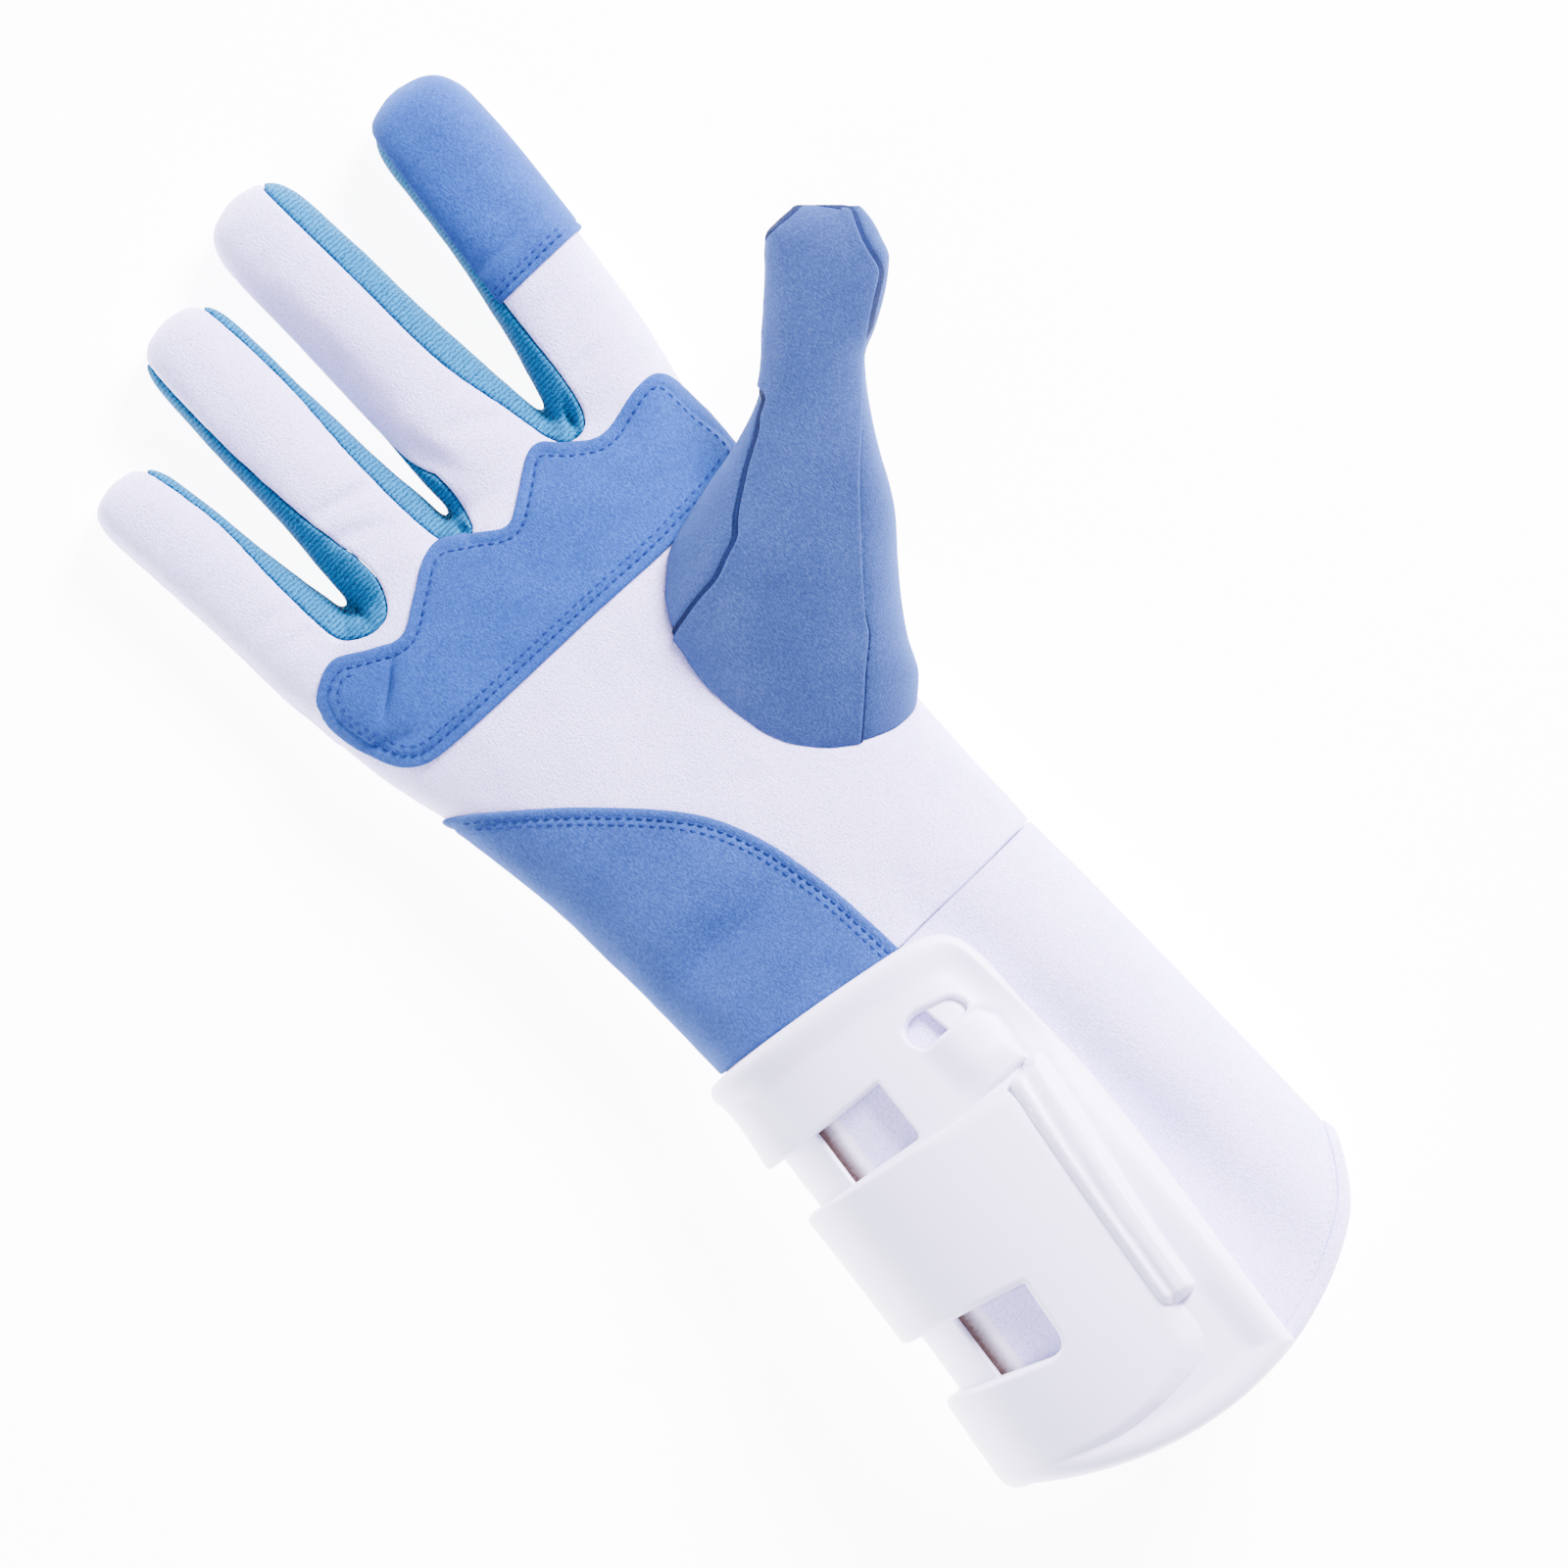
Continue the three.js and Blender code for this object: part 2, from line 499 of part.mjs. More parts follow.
// The set-in thumb: a front panel between two seams, and one panel round its sides and back
function thumbPanels() {
  const shell = thumbForm(0).subtract(thumbForm(-CLOTH)).subtract(gloveForm(SEAM_GAP));
  const front = (inset) => {
    const up = THUMB_SEAMS.map((row) => thumbPlan(row.along, row.towardIndex)
      .addScaledVector(thumbSide, -inset));
    const down = THUMB_SEAMS.map((row) => thumbPlan(row.along, row.towardWrist)
      .addScaledVector(thumbSide, inset)).reverse();
    const plan = prism([...up, ...down].reverse());
    const slope = solidOf(new THREE.BoxGeometry(2 * FAR, 2 * FAR, FAR).translate(0, 0, FAR / 2 + inset)
      .applyMatrix4(new THREE.Matrix4().makeBasis(
        new THREE.Vector3(thumbAxis.x, thumbAxis.y, THUMB_RISE),
        new THREE.Vector3(thumbSide.x, thumbSide.y, 0),
        new THREE.Vector3(0, 0, 1)))
      .translate(...thumbPlan(THUMB_BASE_ALONG, 0).toArray(), THUMB_BASE_HEIGHT));
    return plan.intersect(slope);
  };
  return {
    thumb_front: shell.intersect(front(SEAM_GAP / 2)),
    thumb_back: shell.subtract(front(-SEAM_GAP / 2)),
  };
}

function plateRegion(inset) {
  const edge = smooth(PLATE_TOP.map(cuffPoint), 22);
  return prism([...shifted(edge, -inset), new THREE.Vector2(-FAR, -1.05 * CUFF_LENGTH)]);
}

// Leather patches sewn over the cloth
function patches() {
  const over = layer(SEAM_GAP, SEAM_GAP + PATCH).intersect(aboveSeam(0)).subtract(thumbForm(SEAM_GAP));
  const heelEdge = smooth(HEEL_PATCH_EDGE.map(handPoint), 20);
  const [start, end] = [heelEdge[0], heelEdge.at(-1)];
  const heel = prism([...heelEdge, new THREE.Vector2(-FAR, end.y), new THREE.Vector2(-FAR, start.y)]);
  const index = FINGERS.at(-1);
  const capStart = fingerAt(index, INDEX_CAP_START);
  const capLow = INDEX_CAP_LOW * index.depth * FINGER_DEPTH;
  const cap = box(capStart.x - FINGER_WIDTH, FAR, capStart.y, FAR, capLow, FAR);
  const between = betweenFingers(FINGERS.at(-2), index, -SEAM_GAP);
  return {
    palm_patch: over.intersect(prism(smooth(PALM_PATCH.map(handPoint), 60, true).reverse())),
    heel_patch: over.intersect(heel).subtract(plateRegion(-SEAM_GAP)),
    index_cap: over.intersect(cap).subtract(between),
  };
}

// Cuff cloth and the hem round its mouth
function cuffPieces() {
  const tube = layer(-CLOTH, 0).intersect(cuffRegion);
  const hem = layer(-CLOTH - HEM_EXTRA, HEM_EXTRA);
  return {
    cuff_panel: tube.intersect(insideMouth(HEM_WIDTH + SEAM_GAP)),
    cuff_hem: hem.intersect(insideMouth(0)).subtract(insideMouth(HEM_WIDTH)).intersect(cuffRegion),
  };
}

// A window's outline with one rounded corner, the third of its rows
function windowRegion({ rows, corner }) {
  const [a, b, c, d] = rows.map(cuffPoint);
  const cut = corner * CUFF_WIDTH;
  const along = (from, to, distance) =>
    from.clone().addScaledVector(new THREE.Vector2().subVectors(to, from).normalize(), distance);
  const shape = new THREE.Shape([a, b, along(c, b, cut)]);
  const end = along(c, d, cut);
  shape.quadraticCurveTo(c.x, c.y, end.x, end.y);
  shape.lineTo(d.x, d.y);
  return prism(shape.getPoints(6));
}

// The moulded closure: tongue under the arms of a plate, a raised cover and a latch rib
function closure() {
  const low = SEAM_GAP;
  const tongueTop = low + TONGUE;
  const plateTop = tongueTop + SEAM_GAP + PLATE;
  const hemTop = HEM_EXTRA + SEAM_GAP;
  const plateEdge = plateRegion(0).intersect(offTable);

  const from = cuffPoint(TONGUE_EDGE);
  const to = cuffPoint({ across: TONGUE_EDGE.endAcross, along: TONGUE_EDGE.endAlong });
  const tongueRegion = (grow) => prism([
    new THREE.Vector2(-FAR, to.y - grow), new THREE.Vector2(to.x + grow, to.y - grow),
    new THREE.Vector2(from.x + grow, from.y + grow), new THREE.Vector2(-FAR, from.y + grow)]);
  const tongue = layer(low, tongueTop).intersect(tongueRegion(0)).intersect(offTable);

  const openings = joined([...WINDOWS.map(windowRegion), prism(smooth(SLOT.map(cuffPoint), 20, true))]);
  const rimRegion = plateEdge.subtract(plateRegion(RIM_WIDTH).intersect(insideMouth(FLANGE_WIDTH)));
  const plate = gloveForm(plateTop)
    .add(gloveForm(plateTop + RIM_HEIGHT).intersect(rimRegion))
    .subtract(gloveForm(low))
    .subtract(gloveForm(hemTop).subtract(insideMouth(HEM_WIDTH + SEAM_GAP)))
    .subtract(gloveForm(tongueTop + SEAM_GAP).intersect(tongueRegion(SEAM_GAP)))
    .intersect(plateEdge.intersect(insideMouth(0)).subtract(openings));

  const coverRegion = prism(COVER_EDGE.map(cuffPoint).reverse());
  const ribRegion = prism(RIB_EDGE.map(cuffPoint).reverse());
  const onPlate = (height) => layer(plateTop + SEAM_GAP, plateTop + SEAM_GAP + height)
    .intersect(plateEdge).intersect(insideMouth(FLANGE_WIDTH + SEAM_GAP))
    .intersect(plateRegion(RIM_WIDTH + SEAM_GAP)).subtract(openings);
  return {
    closure_tongue: tongue,
    closure_plate: plate,
    closure_cover: onPlate(COVER).intersect(coverRegion),
    closure_rib: onPlate(RIB_HEIGHT).intersect(ribRegion),
  };
}

// Materials
const matt = (color, roughness) => new THREE.MeshStandardMaterial({ color, roughness, metalness: 0 });
const WHITE_CLOTH = matt(0xece8f4, 0.9);
const BLUE_LEATHER = matt(0x6f94d2, 0.85);
const CYAN_KNIT = matt(0x3aa6cf, 0.9);
const WHITE_RUBBER = matt(0xf0eef5, 0.5);
const MATERIALS = {
  fourchette: CYAN_KNIT, palm_patch: BLUE_LEATHER, heel_patch: BLUE_LEATHER, index_cap: BLUE_LEATHER,
  thumb: BLUE_LEATHER, closure: WHITE_RUBBER,
};
const materialOf = (name) =>
  MATERIALS[Object.keys(MATERIALS).find((start) => name.startsWith(start))] ?? WHITE_CLOTH;

function meshOf(name, solid) {
  const { numProp, vertProperties, triVerts, numVert } = withoutCrumbs(solid).getMesh();
  const points = new Float32Array(numVert * 3);
  for (let i = 0; i < numVert; i++) points.set(vertProperties.subarray(i * numProp, i * numProp + 3), i * 3);
  const geometry = new THREE.BufferGeometry();
  geometry.setAttribute("position", new THREE.BufferAttribute(points, 3));
  geometry.setIndex(new THREE.BufferAttribute(triVerts, 1));
  geometry.computeVertexNormals();
  const mesh = new THREE.Mesh(geometry, materialOf(name));
  mesh.name = name;
  return mesh;
}

const glove = new THREE.Group();
const pieces = { ...handPanels(), ...thumbPanels(), ...patches(), ...cuffPieces(), ...closure() };
for (const [name, solid] of Object.entries(pieces)) glove.add(meshOf(name, solid));

// The part's origin is the middle of the glove's footprint, on the table.
const bounds = new THREE.Box3().setFromObject(glove);
const footprint = bounds.getCenter(new THREE.Vector3());
glove.position.set(-footprint.x, -footprint.y, -bounds.min.z);

export default glove;
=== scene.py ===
# The looks of a right-hand fencing glove lying palm up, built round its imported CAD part.
# The tables are in the millimetres of the CAD source, where y = 0 is the seam of hand and cuff.
from math import cos, pi, radians, sin, sqrt

import bpy
import numpy as np
from mathutils import Matrix
from mathutils import Vector
from mathutils.bvhtree import BVHTree
from numpy.linalg import norm


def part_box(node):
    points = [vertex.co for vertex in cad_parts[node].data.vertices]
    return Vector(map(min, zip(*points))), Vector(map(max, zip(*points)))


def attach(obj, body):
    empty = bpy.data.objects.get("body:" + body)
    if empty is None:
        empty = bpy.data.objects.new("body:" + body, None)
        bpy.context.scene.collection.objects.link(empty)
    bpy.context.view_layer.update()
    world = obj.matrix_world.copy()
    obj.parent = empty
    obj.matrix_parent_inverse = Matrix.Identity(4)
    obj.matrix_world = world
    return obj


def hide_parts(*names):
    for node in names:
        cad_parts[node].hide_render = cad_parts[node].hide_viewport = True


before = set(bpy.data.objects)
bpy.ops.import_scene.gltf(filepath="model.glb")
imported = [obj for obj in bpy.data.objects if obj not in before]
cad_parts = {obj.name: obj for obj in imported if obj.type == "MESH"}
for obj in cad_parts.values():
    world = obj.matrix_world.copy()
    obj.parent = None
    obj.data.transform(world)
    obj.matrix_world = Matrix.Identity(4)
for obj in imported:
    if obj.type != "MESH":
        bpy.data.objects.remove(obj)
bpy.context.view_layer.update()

# Where the CAD source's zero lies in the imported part, in metres
SEAM_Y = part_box("cuff_panel")[1].y + 0.00015
ZERO_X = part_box("closure_rib")[0].x + 0.152 * 0.101
ZERO = np.array([ZERO_X, SEAM_Y, 0.0])

# Further out than anything on the glove, and the least height above the floor, in millimetres
FAR = 300.0
LOWEST = 0.02

# Cloth, leather and moulding, in millimetres
CLOTH = 1.6
GAP = 0.3
PATCH_TOP = 1.4
PATCH_THICK = 1.1
HEM_WIDTH = 3.6
HEM_STITCH = 4.8
TONGUE_TOP = 2.1
PLATE_TOP = 4.6
RIM_TOP = 6.5
COVER_TOP = 6.4
RIB_TOP = 8.8
CLOSURE_FLOOR = 8.0
SUNK = 0.6

# Fineness of the meshes: millimetres from ring to ring, and points round a ring
HAND_STEP, HAND_SIDES = 2.0, 150
CUFF_STEP, CUFF_SIDES = 1.2, 210
CLOSURE_STEP, CLOSURE_SIDES = 0.74, 352
FINGER_SIDES = 72
THUMB_STEP = 0.95
HAND_VOXEL = 1.0
WAVES = 14
ARC_POINTS = 481

# Rows of stitches, in from the edge of each patch
PALM_ROWS = (2.7, 4.5)
HEEL_ROWS = (2.2, 3.8)
CAP_ROWS = (1.9, 3.4)
STITCH_PITCH = 2.3
STITCH_LENGTH = 1.6
STITCH_RADIUS = 0.28
STITCH_SIDES = 6
STITCH_SHARES = (-0.5, -0.36, 0, 0.36, 0.5)
STITCH_FAT = (0.15, 0.8, 1.0, 0.8, 0.15)

# Sections of palm and cuff: y, left, right, top and the height of the widest line
BODY = [
    (-137.5, -66.7, 37.9, 63.9, 28.5),
    (-100.0, -62.5, 38.8, 62.0, 27.8),
    (-75.0, -58.6, 39.0, 58.9, 26.3),
    (-50.0, -55.6, 39.0, 54.6, 24.0),
    (-20.0, -52.5, 38.9, 49.0, 21.8),
    (0.0, -50.0, 38.5, 44.2, 20.3),
    (22.4, -50.0, 39.0, 40.5, 18.8),
    (44.8, -50.3, 40.0, 37.4, 17.3),
    (64.4, -51.7, 42.2, 35.4, 15.8),
    (84.0, -54.4, 45.5, 33.3, 14.7),
    (100.8, -58.5, 48.3, 31.3, 13.8),
    (117.6, -61.4, 49.6, 28.6, 12.8),
    (130.2, -62.2, 50.5, 25.2, 11.3),
    (135.8, -60.5, 49.4, 22.1, 10.2),
    (138.9, -55.5, 44.4, 15.6, 9.0),
]
CUFF_END = -126.5
HAND_START = -12
HAND_END = BODY[-1][0]
CUFF_RIGHT = 39.0

# Roundness of the sections, where 1 is an ellipse, and how much the table flattens them
ROUND_TOP = 0.86
ROUND_UNDER = 0.68
ROUND_UNDER_FINGER = 0.8
TABLE_PRESS = 0.6

# Long soft hollows pressed into the upper side: x, y, turn, length, width, depth
FOLDS = [
    (9.5, -56.0, 93, 50.0, 9.0, 7.5),
    (-33.3, 28.0, -4, 22.0, 6.5, 4.6),
    (-6.7, 77.0, 30, 26.0, 16.0, 2.0),
]

# Short creases in the cloth and suede, pressed in after the skin is made
CREASES = [
    (-22.0, 158.5, -13, 9.0, 1.8, 1.6),
    (-25.5, 151.5, -22, 6.5, 1.6, 1.3),
    (-20.0, 146.0, 8, 8.0, 2.0, 1.1),
    (-3.6, 184.0, 89, 20.0, 5.0, 3.0),
    (-2.0, 152.0, -74, 9.0, 3.0, 1.8),
    (12.0, 150.0, -30, 8.0, 2.2, 0.8),
    (42.0, 150.0, 12, 9.0, 2.6, 0.9),
    (40.0, 143.0, -8, 7.0, 2.0, 0.7),
    (-52.0, 150.0, -18, 7.0, 2.2, 0.8),
    (-50.0, 143.0, -10, 6.0, 1.8, 0.6),
    (-44.5, 121.0, 37, 7.0, 1.7, 2.2),
    (-52.5, 112.5, 150, 7.0, 2.0, 1.3),
    (-37.3, 138.6, 80, 3.4, 1.1, 3.0),
    (-8.1, 135.8, 90, 2.8, 1.0, 2.6),
    (26.6, 136.0, 64, 3.6, 1.1, 2.8),
    (46.0, 171.8, 0, 20.0, 1.5, -0.7),
    (46.0, 174.6, 0, 20.0, 1.4, 0.6),
]

# Fingers: root and tip across, y of the tip, width, depth, bend, and the width of fourchette seen
# on the little finger's side and on the thumb's side at four stations
FINGERS = {
    "little": (-49.5, -57.6, 197.8, 21.3, 18.5, 1.0, None, (6.1, 4.1, 1.3, 1.0)),
    "ring": (-23.3, -24.1, 216.0, 25.0, 21.1, 1.0, (8.4, 4.4, 2.1, 0.9), (4.5, 3.5, 1.5, 1.0)),
    "middle": (8.2, 6.2, 225.0, 26.0, 22.0, 1.0, (3.1, 1.0, 0.9, 0.9), (3.6, 6.0, 5.5, 3.9)),
    "index": (34.0, 48.6, 216.0, 26.0, 22.0, 1.8, (6.5, 3.3, 2.0, 1.5), None),
}
FINGER_ROOT = 120.0
FINGER_SEAM = 0.46
FINGER_SEAM_HEIGHT = 10.1
FINGER_PROFILE = [
    (0, 1.18, 1.08), (0.25, 1.14, 1.05), (0.45, 1.04, 1.0), (0.65, 0.99, 0.98), (0.8, 0.96, 0.95),
    (0.89, 0.93, 0.92), (0.95, 0.81, 0.83), (0.985, 0.55, 0.64), (1.0, 0.15, 0.36),
]
FOURCHETTE_STATIONS = (0.25, 0.45, 0.7, 0.94)
FOURCHETTE_TIP = 0.3
CROTCH_Y = 133.0

# Sections of the thumb: share along, its edges towards the wrist and the index, and its depth
THUMB = [
    (-0.045, -16.0, -6.0, 8.0), (-0.03, -20.5, -1.0, 20.0), (-0.012, -25.0, 4.0, 26.0),
    (0.02, -29.5, 9.5, 30.0), (0.064, -32.8, 15.5, 32.0), (0.108, -34.0, 19.7, 33.0),
    (0.16, -33.4, 23.5, 34.5), (0.23, -29.4, 26.2, 35.6), (0.3, -26.4, 26.6, 36.0),
    (0.375, -24.0, 24.0, 35.0), (0.453, -21.8, 20.1, 33.0), (0.509, -19.1, 17.0, 31.0),
    (0.55, -16.6, 15.2, 29.4), (0.598, -14.0, 13.5, 27.2), (0.63, -12.5, 12.9, 26.0),
    (0.66, -11.2, 13.6, 24.8), (0.70, -9.8, 14.1, 23.6), (0.735, -9.0, 14.8, 22.8),
    (0.786, -10.2, 15.4, 21.6), (0.859, -11.0, 16.4, 19.4), (0.9, -10.6, 17.2, 17.4),
    (0.933, -8.0, 17.5, 14.6), (0.96, -5.6, 15.6, 11.0), (0.98, -3.4, 13.6, 7.0),
    (0.99, -2.0, 12.6, 4.0),
]
THUMB_BASE = np.array([24.0, 68.0])
THUMB_BASE_ALONG = 0.167
THUMB_LENGTH = 120.0
THUMB_WIDTH = 54
THUMB_TURN = radians(36)
THUMB_AXIS = np.array([cos(THUMB_TURN), sin(THUMB_TURN)])
THUMB_SIDE = np.array([-THUMB_AXIS[1], THUMB_AXIS[0]])
THUMB_RISE = 0.18
THUMB_BASE_HEIGHT = 26.0
TIP_SKEW = 0.08

# Seams of the thumb's front panel, towards the index and towards the wrist: share along, side
INNER_SEAM = [
    (-0.1, 40.0), (0.1, 25.0), (0.171, 21.3), (0.227, 18.0), (0.272, 14.8), (0.317, 13.3), (0.355, 12.0),
    (0.398, 12.6), (0.47, 12.3), (0.5, 12.0), (0.552, 11.2), (0.584, 11.4), (0.617, 10.9), (0.636, 12.7),
    (0.65, 16.5), (0.7, 19.0), (0.8, 19.0), (0.9, 18.2), (0.935, 15.9), (0.965, 12.9), (0.992, 10.6),
]
OUTER_SEAM = [
    (-0.1, -23.5), (0.026, -23.0), (0.151, -21.4), (0.222, -20.6), (0.256, -19.0), (0.36, -16.1),
    (0.5, -12.6), (0.606, -10.9), (0.72, -8.7), (0.798, -8.5), (0.863, -8.8), (0.888, -8.8), (0.905, -7.4),
    (0.923, -5.4), (0.946, -3.3), (0.993, -0.1),
]

# Outlines seen from above
PALM_PATCH = [
    (-59.9, 125.0), (-57.7, 130.9), (-50.0, 134.5), (-41.1, 130.1), (-34.0, 127.5), (-26.0, 132.0),
    (-16.0, 137.5), (-7.0, 133.0), (0.0, 128.8), (7.0, 132.4), (16.0, 138.0), (23.0, 132.4),
    (30.0, 128.7), (42.0, 131.2), (48.4, 129.5), (49.5, 119.0), (48.5, 103.6), (26.0, 100.4),
    (0.0, 100.9), (-40.0, 101.8), (-52.2, 104.3), (-57.9, 113.4),
]
HEEL_EDGE = [
    (-66.6, 96.6), (-55.9, 91.6), (-45.0, 83.4), (-30.0, 70.0), (-15.0, 53.5), (-8.0, 39.1),
    (-4.4, 22.0), (-3.0, 2.9), (-2.8, -14.0),
]
CAP_START = 165.9

# Outlines of the closure
PLATE_EDGE = [
    (-90.9, -10.0), (-60.5, -6.0), (-57.5, 1.0), (-54.5, 5.0), (-49.0, 6.4), (-30.3, 4.0), (-10.1, 0.5),
    (1.0, -2.3), (7.0, -6.4), (9.6, -13.4), (8.9, -30.0), (4.0, -75.0), (-1.0, -131.3),
]
WINDOWS = [
    (1.5, [(-80.8, -14.8), (-26.0, -19.0), (-27.5, -34.5), (-80.8, -25.6)]),
    (5.1, [(-80.8, -59.4), (-33.0, -73.5), (-36.0, -91.3), (-80.8, -72.5)]),
]
SLOT = [
    (-15.4, -17.8), (-14.4, -14.8), (-10.9, -13.6), (-6.5, -14.9), (-3.0, -16.5), (-1.9, -18.8),
    (-2.3, -20.9), (-5.5, -21.3), (-9.2, -21.3), (-13.4, -21.3),
]
SLOT_STEP = [(-8.6, -10.0), (2.0, -12.0), (2.0, -26.0), (-7.2, -26.0)]
TONGUE_REGION = [(-90.0, -98.8), (-53.5, -98.8), (-42.6, -7.5), (-90.0, -7.5)]
COVER_EDGE = [
    (-90.9, -23.1), (-46.0, -31.5), (-28.8, -35.4), (-15.1, -38.0), (-7.8, -39.8), (-5.4, -42.5),
    (-12.0, -99.5), (-12.5, -104.5), (-13.5, -108.9), (-15.9, -111.8), (-21.0, -113.2), (-30.0, -113.6),
    (-41.5, -112.8), (-61.0, -107.2), (-90.9, -93.0),
]
TAB_EDGE = [
    (-26.0, -22.5), (-18.0, -20.6), (-13.7, -20.9), (-9.2, -21.4), (-4.8, -21.6), (-1.3, -23.2),
    (0.3, -26.8), (-0.4, -31.0), (-1.2, -35.0), (-1.0, -38.6), (-28.0, -36.5),
]
RIB_EDGE = [
    (-7.4, -41.8), (-6.9, -40.0), (-5.4, -39.3), (-3.6, -39.4), (-2.5, -38.5), (-0.9, -38.0),
    (0.3, -38.9), (0.5, -41.0), (-6.9, -98.0), (-7.2, -99.6), (-8.6, -100.3), (-12.6, -99.9),
    (-14.8, -98.9), (-15.4, -96.8),
]
MOUTH_MIDDLE = -12.1
MOUTH_RADIUS = 75.0
MOUTH_LOW = 125.0
MOUTH_CORNER = 12.0


# Plain number helpers
def through(keys, values, at):
    """A smooth curve through the rows that doesn't overshoot them."""
    keys = np.asarray(keys, float)
    values = np.asarray(values, float)
    at = np.clip(np.asarray(at, float), keys[0], keys[-1])
    gap = np.diff(keys)
    slope = np.diff(values) / gap
    bend = np.zeros(len(keys))
    bend[0] = slope[0]
    bend[-1] = slope[-1]
    for i in range(1, len(keys) - 1):
        if slope[i - 1] * slope[i] > 0:
            first = 2 * gap[i] + gap[i - 1]
            second = gap[i] + 2 * gap[i - 1]
            bend[i] = (first + second) / (first / slope[i - 1] + second / slope[i])
    k = np.clip(np.searchsorted(keys, at, side="right") - 1, 0, len(gap) - 1)
    t = (at - keys[k]) / gap[k]
    near = (1 + 2 * t) * (1 - t) ** 2 * values[k] + t * (1 - t) ** 2 * gap[k] * bend[k]
    return near + t * t * (3 - 2 * t) * values[k + 1] + t * t * (t - 1) * gap[k] * bend[k + 1]


def smooth_outline(points, closed=False, step=1.0):
    """Points about step apart on a smooth curve through the rows."""
    rows = np.asarray(points, float)
    if closed:
        rows = np.vstack([rows[-2:], rows, rows[:3]])
    else:
        rows = np.vstack([2 * rows[0] - rows[1], rows, 2 * rows[-1] - rows[-2]])
    made = []
    for i in range(1, len(rows) - 2):
        a, b, c, d = rows[i - 1:i + 3]
        count = max(2, int(norm(c - b) / step))
        t = (np.arange(count) / count)[:, None]
        curve = 2 * b + (c - a) * t + (2 * a - 5 * b + 4 * c - d) * t ** 2
        made.append(0.5 * (curve + (3 * b - a - 3 * c + d) * t ** 3))
    made = np.vstack(made)
    if closed:
        return made[int(norm(rows[2] - rows[1]) / step):]
    return np.vstack([made, rows[-2]])


def inside(x, y, outline):
    """Distance from an outline seen from above, positive inside it."""
    outline = np.asarray(outline, float)
    nearest = np.full(len(x), 1e9)
    odd = np.zeros(len(x), bool)
    for a, b in zip(outline, np.roll(outline, -1, 0)):
        run = b - a
        t = ((x - a[0]) * run[0] + (y - a[1]) * run[1]) / max(run @ run, 1e-12)
        t = np.clip(t, 0, 1)
        nearest = np.minimum(nearest, (x - a[0] - t * run[0]) ** 2 + (y - a[1] - t * run[1]) ** 2)
        if a[1] != b[1]:
            crossing = a[0] + (y - a[1]) * run[0] / (b[1] - a[1])
            odd ^= ((a[1] > y) != (b[1] > y)) & (x < crossing)
    return np.where(odd, 1.0, -1.0) * np.sqrt(nearest)


def waves(points, length, seed):
    """Smooth seeded noise from -1 to 1, about length millimetres from crest to crest."""
    chance = np.random.default_rng(seed)
    total = np.zeros(len(points))
    for _ in range(WAVES):
        way = chance.normal(size=3)
        way *= 2 * pi / length * chance.uniform(0.7, 1.4) / norm(way)
        total += np.sin(points @ way + chance.uniform(0, 2 * pi))
    return total / sqrt(WAVES) / 1.5


def fold_drop(x, y, folds):
    """How far long soft hollows lower a surface at points seen from above."""
    drop = np.zeros(len(x))
    for fold_x, fold_y, turn, length, width, depth in folds:
        c = cos(radians(turn))
        s = sin(radians(turn))
        along = ((x - fold_x) * c + (y - fold_y) * s) / length
        across = ((y - fold_y) * c - (x - fold_x) * s) / width
        drop += depth * np.exp(-along ** 2 - across ** 2)
    return drop


def rounded(distance, radius):
    """Share of full height reached at a distance in from a rounded edge."""
    t = np.clip(distance / radius, 0, 1)
    return np.sqrt(1 - (1 - t) ** 2)


def ramp(value, low, high):
    """0 below low, 1 above high, smooth between."""
    t = np.clip((value - low) / (high - low), 0, 1)
    return t * t * (3 - 2 * t)


def crossings(faces, above):
    """The triangles that a level crosses, each turned so that its lone corner comes first."""
    state = above[faces]
    crossed = []
    for want, lone in ((1, True), (2, False)):
        rows = np.flatnonzero(state.sum(1) == want)
        corner = np.argmax(state[rows] == lone, axis=1)
        crossed.append((lone, [faces[rows, (corner + i) % 3] for i in range(3)]))
    return crossed


